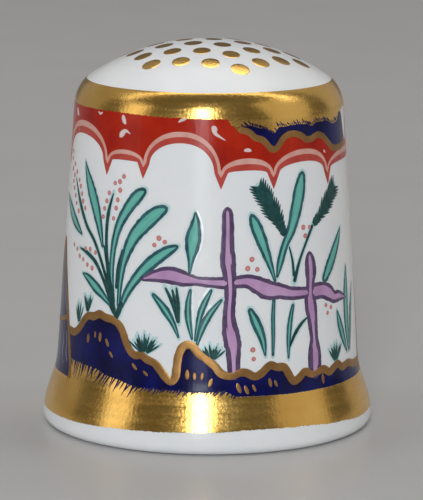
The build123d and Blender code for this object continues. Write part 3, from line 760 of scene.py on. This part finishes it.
# Leaves, stems and the ribs of the feathery leaves as lines of (place, height, width)
LEAVES = [
    # the tall clump on the left
    [(-8.35, 14.0, 0.15), (-8.8, 15.4, 0.6), (-9.4, 16.8, 0.95), (-10.1, 18.0, 0.98),
     (-10.75, 19.1, 0.5), (-11.05, 19.75, 0.05)],
    [(-15.0, 16.9, 0.1), (-13.9, 16.35, 0.62), (-12.8, 15.6, 0.82), (-11.8, 15.0, 0.6),
     (-11.0, 14.55, 0.1)],
    [(-7.05, 10.2, 0.25), (-7.35, 12.3, 0.4), (-7.25, 14.2, 0.5), (-6.85, 15.7, 0.66),
     (-6.1, 17.0, 0.82), (-5.3, 17.95, 0.85), (-4.7, 18.4, 0.45)],
    [(-6.6, 10.0, 0.25), (-6.5, 12.0, 0.42), (-6.2, 13.5, 0.62), (-5.6, 14.9, 0.92),
     (-4.75, 15.95, 1.1), (-3.8, 16.8, 1.0), (-3.0, 17.25, 0.5)],
    [(-6.4, 9.9, 0.25), (-5.9, 11.1, 0.55), (-5.0, 12.4, 0.72), (-4.0, 13.4, 0.86),
     (-3.0, 14.15, 0.75), (-2.15, 14.6, 0.25)],
    [(-10.5, 11.8, 0.1), (-9.8, 11.6, 0.55), (-8.9, 11.1, 0.78), (-8.1, 10.6, 0.55),
     (-7.3, 10.0, 0.2)],
    # the single leaf in the middle
    [(-1.3, 12.65, 0.1), (-1.22, 13.5, 0.35), (-1.15, 14.3, 0.8), (-1.05, 15.2, 1.05),
     (-0.9, 16.3, 0.6), (-0.92, 17.0, 0.05)],
    # the group behind the fence
    [(4.85, 12.0, 0.12), (4.55, 13.0, 0.38), (4.2, 14.0, 0.62), (3.8, 15.1, 0.82), (3.4, 16.1, 0.78),
     (3.12, 16.8, 0.3)],
    [(5.0, 12.3, 0.12), (5.3, 13.4, 0.5), (5.7, 14.5, 0.55), (6.3, 15.6, 0.75), (6.8, 17.0, 0.98),
     (7.2, 18.4, 0.98), (7.5, 19.5, 0.5)],
    [(9.3, 11.5, 0.5), (10.0, 12.4, 0.86), (10.8, 13.4, 0.86), (11.5, 14.3, 0.6), (11.95, 15.0, 0.05)],
    # the small plants in front of it
    [(-1.98, 8.2, 0.1), (-2.4, 9.2, 0.35), (-3.05, 10.2, 0.52), (-3.9, 11.15, 0.22)],
    [(-1.05, 8.1, 0.1), (-1.32, 9.5, 0.4), (-1.35, 10.6, 0.36), (-1.2, 11.6, 0.15)],
    [(-0.85, 8.0, 0.1), (-0.55, 9.7, 0.38), (-0.25, 10.6, 0.4), (0.25, 11.6, 0.15)],
    [(-0.75, 7.6, 0.1), (-0.4, 8.8, 0.4), (0.15, 9.9, 0.42), (0.95, 10.9, 0.15)],
    [(3.98, 6.85, 0.1), (3.8, 8.0, 0.48), (3.35, 9.2, 0.64), (2.9, 10.2, 0.3)],
    [(5.75, 6.5, 0.1), (5.82, 8.0, 0.34), (5.98, 9.2, 0.34), (6.25, 10.25, 0.2)],
    [(4.55, 6.8, 0.15), (4.6, 8.2, 0.24), (4.62, 9.6, 0.26), (4.72, 10.8, 0.2)],
    [(12.1, 6.0, 0.12), (11.6, 7.1, 0.62), (11.15, 8.2, 0.6), (10.85, 9.15, 0.1)],
    [(12.45, 6.0, 0.12), (12.35, 7.8, 0.7), (12.4, 9.6, 0.85), (12.55, 11.0, 0.6), (12.75, 12.1, 0.12)],
    [(12.7, 6.0, 0.12), (13.05, 7.6, 0.45), (13.5, 9.2, 0.45), (14.1, 10.6, 0.1)],
]
STEMS = [
    [(-12.65, 18.35, 0.12), (-11.6, 16.8, 0.42), (-10.4, 15.3, 0.34), (-9.2, 14.2, 0.3),
     (-8.1, 12.4, 0.3), (-7.2, 10.3, 0.34), (-6.75, 9.1, 0.2)],
    [(-7.5, 17.95, 0.12), (-7.9, 16.6, 0.34), (-8.02, 15.2, 0.32), (-7.9, 13.6, 0.34),
     (-7.5, 11.6, 0.4), (-6.9, 9.6, 0.3)],
    [(-11.15, 13.55, 0.12), (-10.1, 13.35, 0.34), (-9.0, 12.8, 0.34), (-8.1, 11.7, 0.3),
     (-7.3, 10.3, 0.34), (-6.8, 9.3, 0.2)],
    [(-6.85, 11.2, 0.3), (-6.75, 12.8, 0.28), (-6.45, 14.1, 0.1)],
    [(-6.3, 10.4, 0.4), (-6.55, 9.7, 0.5), (-6.75, 9.0, 0.15)],
    [(-8.25, 14.2, 0.12), (-7.9, 13.2, 0.3), (-7.4, 11.6, 0.34), (-6.95, 10.2, 0.2)],
    [(-7.4, 10.0, 0.16), (-7.0, 9.5, 0.24), (-6.75, 9.2, 0.1)],
    [(8.35, 15.7, 0.3), (7.6, 14.5, 0.24), (6.9, 13.2, 0.24), (6.4, 11.8, 0.36)],
    [(6.05, 14.4, 0.12), (6.3, 13.4, 0.2), (6.4, 12.2, 0.28)],
    [(5.85, 7.2, 0.12), (6.3, 8.1, 0.28), (6.9, 8.8, 0.26), (7.5, 9.2, 0.12)],
    [(-2.05, 9.2, 0.16), (-2.35, 10.4, 0.34), (-3.0, 11.7, 0.16)],
    [(-2.0, 9.4, 0.16), (-2.2, 10.5, 0.34), (-2.5, 11.6, 0.14)],
    [(-1.98, 9.2, 0.16), (-2.05, 10.6, 0.3), (-2.2, 11.75, 0.14)],
]
FEATHERS = [
    [(5.75, 15.2, 0.16), (5.55, 15.6, 0.3), (5.2, 16.3, 0.6), (4.65, 17.2, 0.65), (4.1, 18.1, 0.6),
     (3.65, 18.8, 0.3)],
    [(8.4, 15.7, 0.2), (8.75, 15.95, 0.3), (9.3, 16.35, 0.6), (10.1, 17.0, 0.65), (10.9, 17.7, 0.6),
     (11.4, 18.15, 0.3)],
]
BARB_STEP = 0.28
BARB_WIDTHS = (0.3, 0.36)
BARB_TIP = 0.05
BARB_LEAN = (0.66, 0.75)     # how far a barb goes out and on, for its length
# Grass: place, height of the root, length of the blades, how many, degrees they spread each side
TUFTS = [(-4.4, 6.75, 1.5, 13, 50), (0.25, 6.5, 1.25, 11, 46), (10.35, 5.4, 1.6, 9, 34),
         (-10.7, 8.0, 1.6, 6, 16), (-9.65, 8.95, 1.5, 7, 24)]
BLADE_WIDTHS = (0.15, 0.22)
BLADE_ENDS = (0.06, 0.04)    # width at the root and at the tip
BLADE_PLACES = (0.18, 0.66, 1.0)     # of the root, the widest place and the tip, for its length


def feather_barbs(lines, seed):
    """Barbs that stand out on both sides of a feathery leaf, leaning towards its tip."""
    chance = random.Random(seed)
    barbs = []
    for line in lines:
        for (s0, z0, w0), (s1, z1, w1) in zip(line, line[1:]):
            run = hypot(s1 - s0, z1 - z0)
            heading = Vector(((s1 - s0) / run, (z1 - z0) / run))
            for step in spread(0, run, BARB_STEP)[:-1]:
                base = Vector((s0, z0)) + heading * step
                reach = (0.25 + 1.5 * (w0 + (w1 - w0) * step / run)) * chance.uniform(0.85, 1.1)
                for side in (1, -1):
                    out = Vector((-heading.y, heading.x)) * side
                    tip = base + (out * BARB_LEAN[0] + heading * BARB_LEAN[1]) * reach
                    width = chance.uniform(*BARB_WIDTHS)
                    barbs.append([(*base, width), (*base.lerp(tip, 0.55), width * 0.62),
                                  (*tip, BARB_TIP)])
    return barbs


def grass_blades(tufts, seed):
    """Fans of short blades that start thin, swell and end in a point."""
    chance = random.Random(seed)
    blades = []
    for s, z, length, count, reach_out in tufts:
        for index in range(count):
            lean = radians(reach_out * (2 * index / (count - 1) - 1) + chance.uniform(-4, 4))
            reach = length * chance.uniform(0.8, 1.08)
            ray = Vector((sin(lean), cos(lean)))
            root, middle, tip = (Vector((s, z)) + ray * reach * part for part in BLADE_PLACES)
            blades.append([(*root, BLADE_ENDS[0]), (*middle, chance.uniform(*BLADE_WIDTHS)),
                           (*tip, BLADE_ENDS[1])])
    return blades


def brush_value(tree, label):
    """A value that the brush strokes and dots keep on their surface, for a shader."""
    return put(tree, "ShaderNodeAttribute", attribute_name=label).outputs["Fac"]


def across_colours(name, middle, edge, rough):
    """An enamel that gathers towards the edges of each stroke, with streaks along it."""
    material, tree, surface = shader(name, middle, rough, IOR=1.5, Specular_IOR_Level=0.17)
    across = brush_value(tree, "across")
    streak_place = joined(tree, times(tree, across, 3.0), times(tree, brush_value(tree, "along"), 5.0),
                          times(tree, brush_value(tree, "load"), 40.0))
    streaks = put(tree, "ShaderNodeTexNoise",
                  {"Vector": streak_place, "Scale": 1.2, "Detail": 3.0}).outputs[0]
    pool = plus(tree, times(tree, times(tree, across, across), 0.55),
                times(tree, between(tree, streaks, 0.35, 0.7), 0.6))
    tint(tree, surface, between(tree, pool, 0.1, 1.0), middle, edge)
    fired_surface(tree, surface)
    return material


def bleeding_halo():
    """The faint tint round a leaf, which fades into the white of the china."""
    material, tree, surface = shader("turquoise_bleed", (0.84, 0.85, 0.85), 0.1, IOR=1.52)
    across = brush_value(tree, "across")
    fade = between(tree, times(tree, across, across), 0.15, 0.95)
    tint(tree, surface, fade, (0.48, 0.70, 0.71), (0.86, 0.865, 0.875))
    return material


turquoise = across_colours("turquoise_enamel", (0.17, 0.52, 0.43), (0.085, 0.36, 0.31), 0.18)
dark_green = enamel("dark_green_liner", (0.011, 0.045, 0.045), (0.022, 0.095, 0.090), 1800,
                    rough=0.2)
leaf_dark = enamel("leaf_liner", (0.022, 0.080, 0.095), (0.050, 0.140, 0.165), 1500, rough=0.2)
blades = grass_blades(TUFTS, seed=8)
bled = rimmed(LEAVES + STEMS + FEATHERS + blades, LEAF_BLEED)
leaf_bleed = painted("leaf_bleed", bled, bleeding_halo(), BLEED_COAT, wobble=0.1, sides=12)
leaf_lines = painted("leaf_lines", rimmed(LEAVES, LEAF_RIMS[0]), leaf_dark, LINER_COAT, wobble=0.3)
leaves = painted("turquoise_leaves", rimmed(LEAVES, LEAF_RIMS[1]), turquoise, LEAF_COAT, wobble=0.08,
                 sides=14)
stems = painted("leaf_stems", STEMS, dark_green, STEM_COAT, wobble=0.35, sides=8)
feathers = painted("feather_leaves", FEATHERS + feather_barbs(FEATHERS, seed=6), dark_green,
                   TUFT_COAT, wobble=0.2, sides=8)
grass = painted("grass_tufts", blades, dark_green, TUFT_COAT, wobble=0.2, sides=8)
for piece, paint, node in ((leaves, "turquoise_enamel", "turquoise_leaves"),
                           (leaf_lines, "dark_green_enamel", "leaf_outlines"),
                           (stems, "dark_green_enamel", "leaf_stems"),
                           (feathers, "dark_green_enamel", "feather_leaves"),
                           (grass, "dark_green_enamel", "grass_tufts")):
    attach(piece, "root")
    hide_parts(node)
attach(leaf_bleed, "root")

# ---- The coral berries ---------------------------------------------------------------------------
# Dots of coral enamel set down with the tip of a round brush, so the colour draws to their rims.

BERRY_COAT = 0.018 * MM
BERRY_RADIUS = 0.175
BERRY_UNEVENNESS = 0.25      # how much the berries differ in size
BERRIES = [
    (-14.0, 20.1), (-14.0, 19.6), (-13.2, 19.3), (-13.7, 18.9), (-12.6, 18.8), (-13.15, 18.5),
    (-13.3, 18.05), (-12.0, 18.3), (-13.0, 17.6), (-11.7, 17.9), (-12.6, 17.1), (-11.4, 17.4),
    (-12.3, 16.6), (-11.15, 16.9), (-11.8, 16.1), (-10.75, 16.45), (-6.6, 19.2), (-6.95, 18.8),
    (-7.4, 18.65), (-6.9, 18.2), (-7.95, 17.9), (-7.08, 17.5), (-8.15, 17.3), (-7.2, 16.9),
    (-8.35, 16.75), (-7.4, 16.15), (-8.45, 16.15), (-12.2, 13.6), (-11.6, 13.4), (-11.15, 12.95),
    (-10.6, 12.8), (-10.0, 12.5), (-9.4, 12.35), (-10.35, 13.6), (-9.75, 13.65), (-9.1, 13.5),
    (-3.55, 15.1), (-3.1, 14.85), (-3.88, 14.6), (3.12, 13.68), (2.8, 13.05), (3.5, 12.95),
    (7.4, 15.6), (8.0, 15.55), (7.55, 14.98), (9.45, 9.78), (10.05, 9.55), (9.6, 9.2), (3.1, 7.3),
    (3.15, 6.65),
]


def dots_tree(name, lay_down):
    """A low oval dome on each point, as long and turned as the point says, laid on the china."""
    tree, given = new_tree(name, [("China", "Object"), ("Coat", "Float"), ("Radius", "Float"),
                                  ("Unevenness", "Float"), ("Seed", "Int"), ("Material", "Material")])
    dome = put(tree, "GeometryNodeMeshUVSphere", {"Segments": 18, "Rings": 8, "Radius": 1.0}).outputs[0]
    place = split(tree, position(tree))
    across = maths(tree, "SQRT", plus(tree, times(tree, place["X"], place["X"]),
                                      times(tree, place["Y"], place["Y"])))
    dome = stored(tree, dome, "across", across)
    chance = put(tree, "FunctionNodeRandomValue", {"Seed": given["Seed"]}).outputs[1]
    swell = maths(tree, "MULTIPLY_ADD", maths(tree, "SUBTRACT", chance, 0.5), given["Unevenness"], 1.0)
    wide = times(tree, given["Radius"], swell)
    scale = joined(tree, wide, times(tree, wide, kept(tree, "long")), MM)
    set_down = put(tree, "GeometryNodeInstanceOnPoints",
                   {"Points": given["Geometry"], "Instance": dome, "Scale": scale,
                    "Rotation": joined(tree, 0.0, 0.0, kept(tree, "tilt"))}).outputs[0]
    real = put(tree, "GeometryNodeRealizeInstances", {"Geometry": set_down}).outputs[0]
    spot = split(tree, position(tree))
    rise = arched(tree, maths(tree, "DIVIDE", spot["Z"], MM), given["Coat"])
    flat = put(tree, "GeometryNodeSetPosition",
               {"Geometry": real, "Position": joined(tree, spot["X"], spot["Y"], rise)}).outputs[0]
    end_tree(tree, lay_down(tree, flat, given["China"]), given["Material"])
    return tree


def points_object(name, spots):
    """Points of (x, y, how long for its width, turn in degrees) for dots to stand on."""
    mesh = bpy.data.meshes.new(name)
    mesh.from_pydata([(spot[0] * MM, spot[1] * MM, 0) for spot in spots], [], [])
    for label, values in (("long", [spot[2] for spot in spots]),
                          ("tilt", [radians(spot[3]) for spot in spots])):
        mesh.attributes.new(label, "FLOAT", "POINT").data.foreach_set("value", values)
    return bpy.data.objects.new(name, mesh)


def rimmed_dot(name, middle, rim):
    """A colour that darkens towards the rim of a dot."""
    material, tree, surface = shader(name, middle, 0.2, IOR=1.5, Specular_IOR_Level=0.17)
    tint(tree, surface, between(tree, brush_value(tree, "across"), 0.35, 0.95), middle, rim)
    fired_surface(tree, surface)
    return material


wall_dots = dots_tree("dots_on_wall", lay_on_wall)
berry_spots = [(s + shift, z, 1.0, 0.0) for shift in (0, HALF_TURN) for s, z in BERRIES]
berries = baked("coral_berries", points_object("berry_spots", berry_spots), wall_dots,
                {"China": china, "Coat": BERRY_COAT, "Radius": BERRY_RADIUS * MM,
                 "Unevenness": BERRY_UNEVENNESS, "Seed": 11},
                rimmed_dot("coral_enamel", (0.66, 0.29, 0.27), (0.54, 0.16, 0.14)))
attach(berries, "root")
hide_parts("coral_berries")

# ---- The pillars between the gardens -------------------------------------------------------------
# A tall cobalt rock on each side of a garden closes it off. Its edges and the line across it are gilt.

# Upper edge of a pillar as (place, height), and the lines as (place, height, width)
PILLAR = [(-17.5, 4.0), (-16.9, 7.4), (-16.2, 10.4), (-15.3, 12.9), (-14.75, 13.6), (-14.2, 12.7),
          (-13.3, 10.5), (-12.5, 8.2), (-11.9, 6.2), (-11.35, 4.0)]
PILLAR_LINES = [
    [(s, z, 0.46) for s, z in PILLAR],
    [(-12.4, 8.35, 0.4), (-13.6, 8.0, 0.36), (-15.2, 7.6, 0.36), (-16.8, 7.7, 0.4)],
]
PILLAR_COAT = 0.014 * MM
CURL_COAT = 0.017 * MM
PILLAR_FOOT = 3.98
PILLAR_SIDE = -11.65         # where the foot band's edge steps up from the pillar to the rocks
pillar_columns = area_columns(lambda s: PILLAR_FOOT, lambda s: smooth_height(PILLAR, s),
                              (PILLAR[0][0] + 0.05, PILLAR[-1][0] - 0.05), PILLAR_COAT)
pillars = washed("cobalt_pillars", pillar_columns, cobalt, rows=14)
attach(pillars, "root")
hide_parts("cobalt_rock_pillars")
# Curls where the cobalt lies thin and pale, as lines of (place, height, width)
PILLAR_CURLS = [
    [(-12.15, 5.0, 0.06), (-12.5, 5.7, 0.14), (-12.45, 6.5, 0.12), (-12.75, 7.2, 0.05)],
    [(-12.95, 4.7, 0.06), (-13.35, 5.6, 0.15), (-13.2, 6.4, 0.12), (-13.65, 7.1, 0.05)],
    [(-14.0, 5.2, 0.06), (-14.4, 6.0, 0.14), (-14.2, 6.7, 0.05)],
    [(-12.95, 8.7, 0.05), (-13.4, 9.4, 0.13), (-13.55, 10.2, 0.11), (-14.05, 11.0, 0.04)],
    [(-13.9, 8.6, 0.05), (-14.3, 9.5, 0.13), (-14.45, 10.4, 0.05)],
]
pale_blue = enamel("thin_cobalt", (0.20, 0.24, 0.42), (0.42, 0.46, 0.62), 1200, rough=0.2)
curls = painted("pillar_curls", PILLAR_CURLS, pale_blue, CURL_COAT, wobble=0.3)
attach(curls, "root")

# ---- The gilding ---------------------------------------------------------------------------------
# Liquid gold is laid last and fired at the lowest heat. The two bands are burnished bright, with fine
# brush marks round them. The thin lines and flecks over the cobalt stay duller and browner.

BAND_COAT = 0.017 * MM
LINE_COAT = 0.024 * MM
PILLAR_LINE_COAT = 0.028 * MM
ROCK_LINE = (0.1, 0.6)       # how far the gilt line lies under the rocks' edge, and its width
CLOUD_LINE = (0.03, 0.52)
GOLD_OVERLAP = 0.12          # of the foot band over a pillar's foot
CLOUD_OVERLAP = 0.08         # of the shoulder band over the cloud's top
FOOT_BAND_LOW = [(-17.1, 1.25), (-10.0, 1.35), (-5.0, 1.55), (0.0, 1.68), (3.0, 1.8), (6.0, 1.72),
                 (9.0, 1.5), (12.0, 1.28), (15.6, 1.25)]
SHOULDER_LOW = [(-17.1, 23.55), (-12.0, 23.6), (-7.6, 23.65), (-3.0, 23.55), (1.35, 23.5),
                (1.8, 23.0), (2.3, 22.55), (13.3, 23.3), (15.6, 23.5)]
CLOUD_SPAN = (2.3, 13.3)     # where the shoulder band's gold ends in the cloud
BAND_TEETH = 0.035           # how ragged the brush leaves a band's edge
# Flecks: place, height and turn in degrees
FLECKS = [(-9.4, 7.3, 1), (-8.65, 7.7, 1), (-8.15, 7.6, 1), (-7.45, 7.3, -25), (-7.05, 6.5, -40),
          (-5.1, 5.9, -40), (-4.25, 5.5, -45), (-1.35, 5.6, 0), (-0.85, 5.5, 0), (-0.35, 5.5, 8),
          (0.2, 5.05, 20), (2.1, 4.65, -18), (2.62, 4.5, -20), (3.15, 4.6, -22), (4.3, 4.9, -10),
          (4.72, 4.8, -20), (8.75, 4.6, 0)]
FLECK_RADIUS = 0.125
FLECK_LONG = 2.6             # length for its width
FLECK_UNEVENNESS = 0.5
CROWN_RADIUS = 0.66          # of each dot on the crown
CROWN_PITCH = 2.15           # from dot to dot
CROWN_RINGS = 3              # of dots round the middle one
CROWN_TURN = radians(-13)
CROWN_SHIFT = Vector((0.3, 0.1))     # of the middle dot from the crown's top
CROWN_UNEVENNESS = 0.06


def ragged(columns, seed, high=False):
    """The same columns with a low edge, and perhaps a high one, that wavers as a brush does."""
    chance = random.Random(seed)
    worn = []
    for s, bottom, top, rise in columns:
        below = chance.uniform(-BAND_TEETH, BAND_TEETH)
        above = chance.uniform(-BAND_TEETH, BAND_TEETH) if high else 0
        worn.append((s, bottom + below, top + above, rise))
    return worn


def shoulder_foot(s):
    """Lower edge of the shoulder band's gold at s."""
    if CLOUD_SPAN[0] < s < CLOUD_SPAN[1]:
        return smooth_height(CLOUD_TOP, s) - CLOUD_OVERLAP
    return smooth_height(SHOULDER_LOW, s)


def foot_band_top(s):
    """Upper edge of the foot band's gold at s."""
    return smooth_height(ROCK_FOOT, s) if s > PILLAR_SIDE else PILLAR_FOOT + GOLD_OVERLAP


def bright_gold():
    """Burnished gold: streaks round the band, a fine grain of pits, and thin worn patches."""
    material, tree, surface = shader("bright_gold", (0.90, 0.60, 0.15), 0.2, Metallic=1.0)
    streaks = object_noise(tree, 220, 5.0, (1, 1, 14))
    grain = object_noise(tree, 5200, 3.0)
    patches = object_noise(tree, 330, 4.0)
    tone = between(tree, patches, 0.3, 0.7)
    tint(tree, surface, tone, (0.76, 0.43, 0.10), (0.90, 0.56, 0.15))
    polish = plus(tree, between(tree, streaks, 0.3, 0.7, 0.13, 0.24),
                  between(tree, grain, 0.4, 0.75, 0.0, 0.08))
    tree.links.new(polish, surface.inputs["Roughness"])
    relief = plus(tree, times(tree, streaks, 0.1), times(tree, grain, 0.4))
    bump(tree, surface, relief, 0.000035, 0.5)
    return material


def dull_gilt():
    """Gold as it comes from the kiln, brown and satin."""
    material, tree, surface = shader("dull_gilt", (0.37, 0.195, 0.065), 0.42, Metallic=0.85)
    tone = between(tree, object_noise(tree, 900, 4.0), 0.3, 0.7)
    tint(tree, surface, tone, (0.31, 0.155, 0.05), (0.43, 0.235, 0.08))
    bump(tree, surface, object_noise(tree, 3600, 3.0), 0.00003, 0.5)
    return material


def from_above(tree, place):
    """Rays straight down, for a drawing of (x, y, rise) places on the crown."""
    return joined(tree, place["X"], place["Y"], 2 * REACH), (0, 0, -1), 2 * REACH


lay_on_crown = laying("lay_on_crown", from_above)


def crown_spots():
    """A three-way grid of dots round a point near the crown's top."""
    spots = []
    for row in range(-CROWN_RINGS, CROWN_RINGS + 1):
        for column in range(-CROWN_RINGS, CROWN_RINGS + 1):
            if abs(row + column) <= CROWN_RINGS:
                x = (column + row / 2) * CROWN_PITCH
                y = row * sqrt(3) / 2 * CROWN_PITCH
                spot = Vector((x * cos(CROWN_TURN) - y * sin(CROWN_TURN),
                               x * sin(CROWN_TURN) + y * cos(CROWN_TURN))) + CROWN_SHIFT
                spots.append((*spot, 1.0, 0.0))
    return spots


gold = bright_gold()
gilt = dull_gilt()
foot_columns = area_columns(lambda s: smooth_height(FOOT_BAND_LOW, s), foot_band_top, TURN, BAND_COAT)
foot_band = washed("foot_band", ragged(foot_columns, seed=21, high=True), gold, rows=16)
shoulder_columns = area_columns(shoulder_foot, lambda s: CREASE[1], TURN, BAND_COAT)
shoulder_band = washed("shoulder_band", ragged(shoulder_columns, seed=22), gold, rows=20)
rock_line = painted("rock_line", [[(s, z - ROCK_LINE[0], ROCK_LINE[1]) for s, z in ROCK_EDGE]],
                    gilt, LINE_COAT, wobble=0.3)
cloud_line = painted("cloud_line", [[(s, z - CLOUD_LINE[0], CLOUD_LINE[1]) for s, z in CLOUD_EDGE]],
                     gilt, LINE_COAT, wobble=0.3)
pillar_line = painted("pillar_lines", PILLAR_LINES, gilt, PILLAR_LINE_COAT, wobble=0.25)
fleck_spots = [(s + shift, z, FLECK_LONG, -turn)
               for shift in (0, HALF_TURN) for s, z, turn in FLECKS]
flecks = baked("rock_flecks", points_object("fleck_spots", fleck_spots), wall_dots,
               {"China": china, "Coat": LINE_COAT, "Radius": FLECK_RADIUS * MM,
                "Unevenness": FLECK_UNEVENNESS, "Seed": 12}, gilt)
crown_dots = baked("crown_dots", points_object("crown_spots", crown_spots()),
                   dots_tree("dots_on_crown", lay_on_crown),
                   {"China": china, "Coat": BAND_COAT, "Radius": CROWN_RADIUS * MM,
                    "Unevenness": CROWN_UNEVENNESS, "Seed": 13}, gold)
for piece, node in ((foot_band, "gilt_foot_band"), (shoulder_band, "gilt_shoulder_band"),
                    (rock_line, "lower_gilt_contour"), (cloud_line, "upper_gilt_contour"),
                    (pillar_line, "gilt_pillar_lines"), (flecks, "gilt_rock_flecks"),
                    (crown_dots, "gilt_crown_dots")):
    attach(piece, "root")
    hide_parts(node)

# ---- The studio ----------------------------------------------------------------------------------
# A plain grey table in a dim grey room. A bright soft light stands by the camera, two hang overhead,
# and weaker ones stand at the sides and behind, so that the gold has light and dark to show.

CAMERA_DISTANCE = 230 * MM
CAMERA_HEIGHT = 54.2 * MM
CAMERA_PITCH = radians(10.27)
CAMERA_YAW = radians(0.002)
CAMERA_ROLL = radians(-0.35)
LENS = 230.5
FRAME_WIDTH = 36             # as the lens, in mm
NEAREST = 0.01               # closer things are not drawn
LIGHT_DISTANCE = 0.7
TABLE_RADIUS = 0.9
TABLE_DROP = 0.00002         # the table's top lies this far under the foot ring
TABLE_SIDES = 64
ROOM_GREY = 0.13
# Soft lights: direction from the thimble (degrees right of the camera, degrees up), width and height
# in degrees as seen from the thimble, radiance and colour
SOFT_LIGHTS = [
    ("key", -5, 17, 11, 42, 12.0, (0.92, 0.965, 1.0)),
    ("overhead", 176, 70, 36, 30, 2.2, (1.0, 0.98, 0.95)),
    ("zenith", 0, 90, 110, 9, 2.0, (1.0, 0.98, 0.95)),
    ("left", -68, 18, 21, 36, 1.1, (1.0, 0.98, 0.95)),
    ("left_back", -130, 30, 50, 60, 0.2, (1.0, 0.98, 0.95)),
    ("right", 74, 24, 44, 50, 0.42, (1.0, 0.97, 0.93)),
    ("right_back", 140, 30, 40, 60, 0.25, (1.0, 0.98, 0.95)),
]

bpy.context.scene.view_settings.view_transform = "Standard"

camera_data = bpy.data.cameras.new("camera")
camera_data.lens = LENS
camera_data.sensor_width = FRAME_WIDTH
camera_data.clip_start = NEAREST
camera = bpy.data.objects.new("camera", camera_data)
camera.location = (0, -CAMERA_DISTANCE, CAMERA_HEIGHT)
camera.rotation_euler = (pi / 2 - CAMERA_PITCH, CAMERA_ROLL, CAMERA_YAW)
bpy.context.scene.collection.objects.link(camera)
bpy.context.scene.camera = camera


def soft_light(name, azimuth, elevation, wide, high, radiance, colour):
    """A flat rectangular light that faces the thimble."""
    data = bpy.data.lights.new(name, "AREA")
    data.shape = "RECTANGLE"
    data.size = 2 * LIGHT_DISTANCE * tan(radians(wide / 2))
    data.size_y = 2 * LIGHT_DISTANCE * tan(radians(high / 2))
    data.energy = radiance * pi * data.size * data.size_y
    data.color = colour
    light = bpy.data.objects.new(name, data)
    turn, up = radians(azimuth), radians(elevation)
    outward = Vector((sin(turn) * cos(up), -cos(turn) * cos(up), sin(up)))
    light.location = outward * LIGHT_DISTANCE
    light.rotation_euler = outward.to_track_quat("Z", "Y").to_euler()
    bpy.context.scene.collection.objects.link(light)


def table_top():
    """A round table top for the thimble to stand on."""
    mesh = bpy.data.meshes.new("table_top")
    turns = [2 * pi * index / TABLE_SIDES for index in range(TABLE_SIDES)]
    edge = [(TABLE_RADIUS * cos(turn), TABLE_RADIUS * sin(turn), -TABLE_DROP) for turn in turns]
    mesh.from_pydata(edge, [], [tuple(range(TABLE_SIDES))])
    table = bpy.data.objects.new("table_top", mesh)
    bpy.context.scene.collection.objects.link(table)
    material, tree, surface = shader("table_grey", (0.33, 0.32, 0.32), 0.35)
    mottle = between(tree, object_noise(tree, 60, 4.0), 0.3, 0.7)
    tint(tree, surface, mottle, (0.54, 0.535, 0.53), (0.57, 0.56, 0.555))
    mesh.materials.append(material)


def dim_room():
    """Even grey light from all round."""
    world = bpy.data.worlds.new("room")
    world.use_nodes = True
    background = world.node_tree.nodes["Background"]
    background.inputs["Color"].default_value = (ROOM_GREY, ROOM_GREY, ROOM_GREY, 1)
    background.inputs["Strength"].default_value = 1.0
    bpy.context.scene.world = world


table_top()
dim_room()
for soft in SOFT_LIGHTS:
    soft_light(*soft)
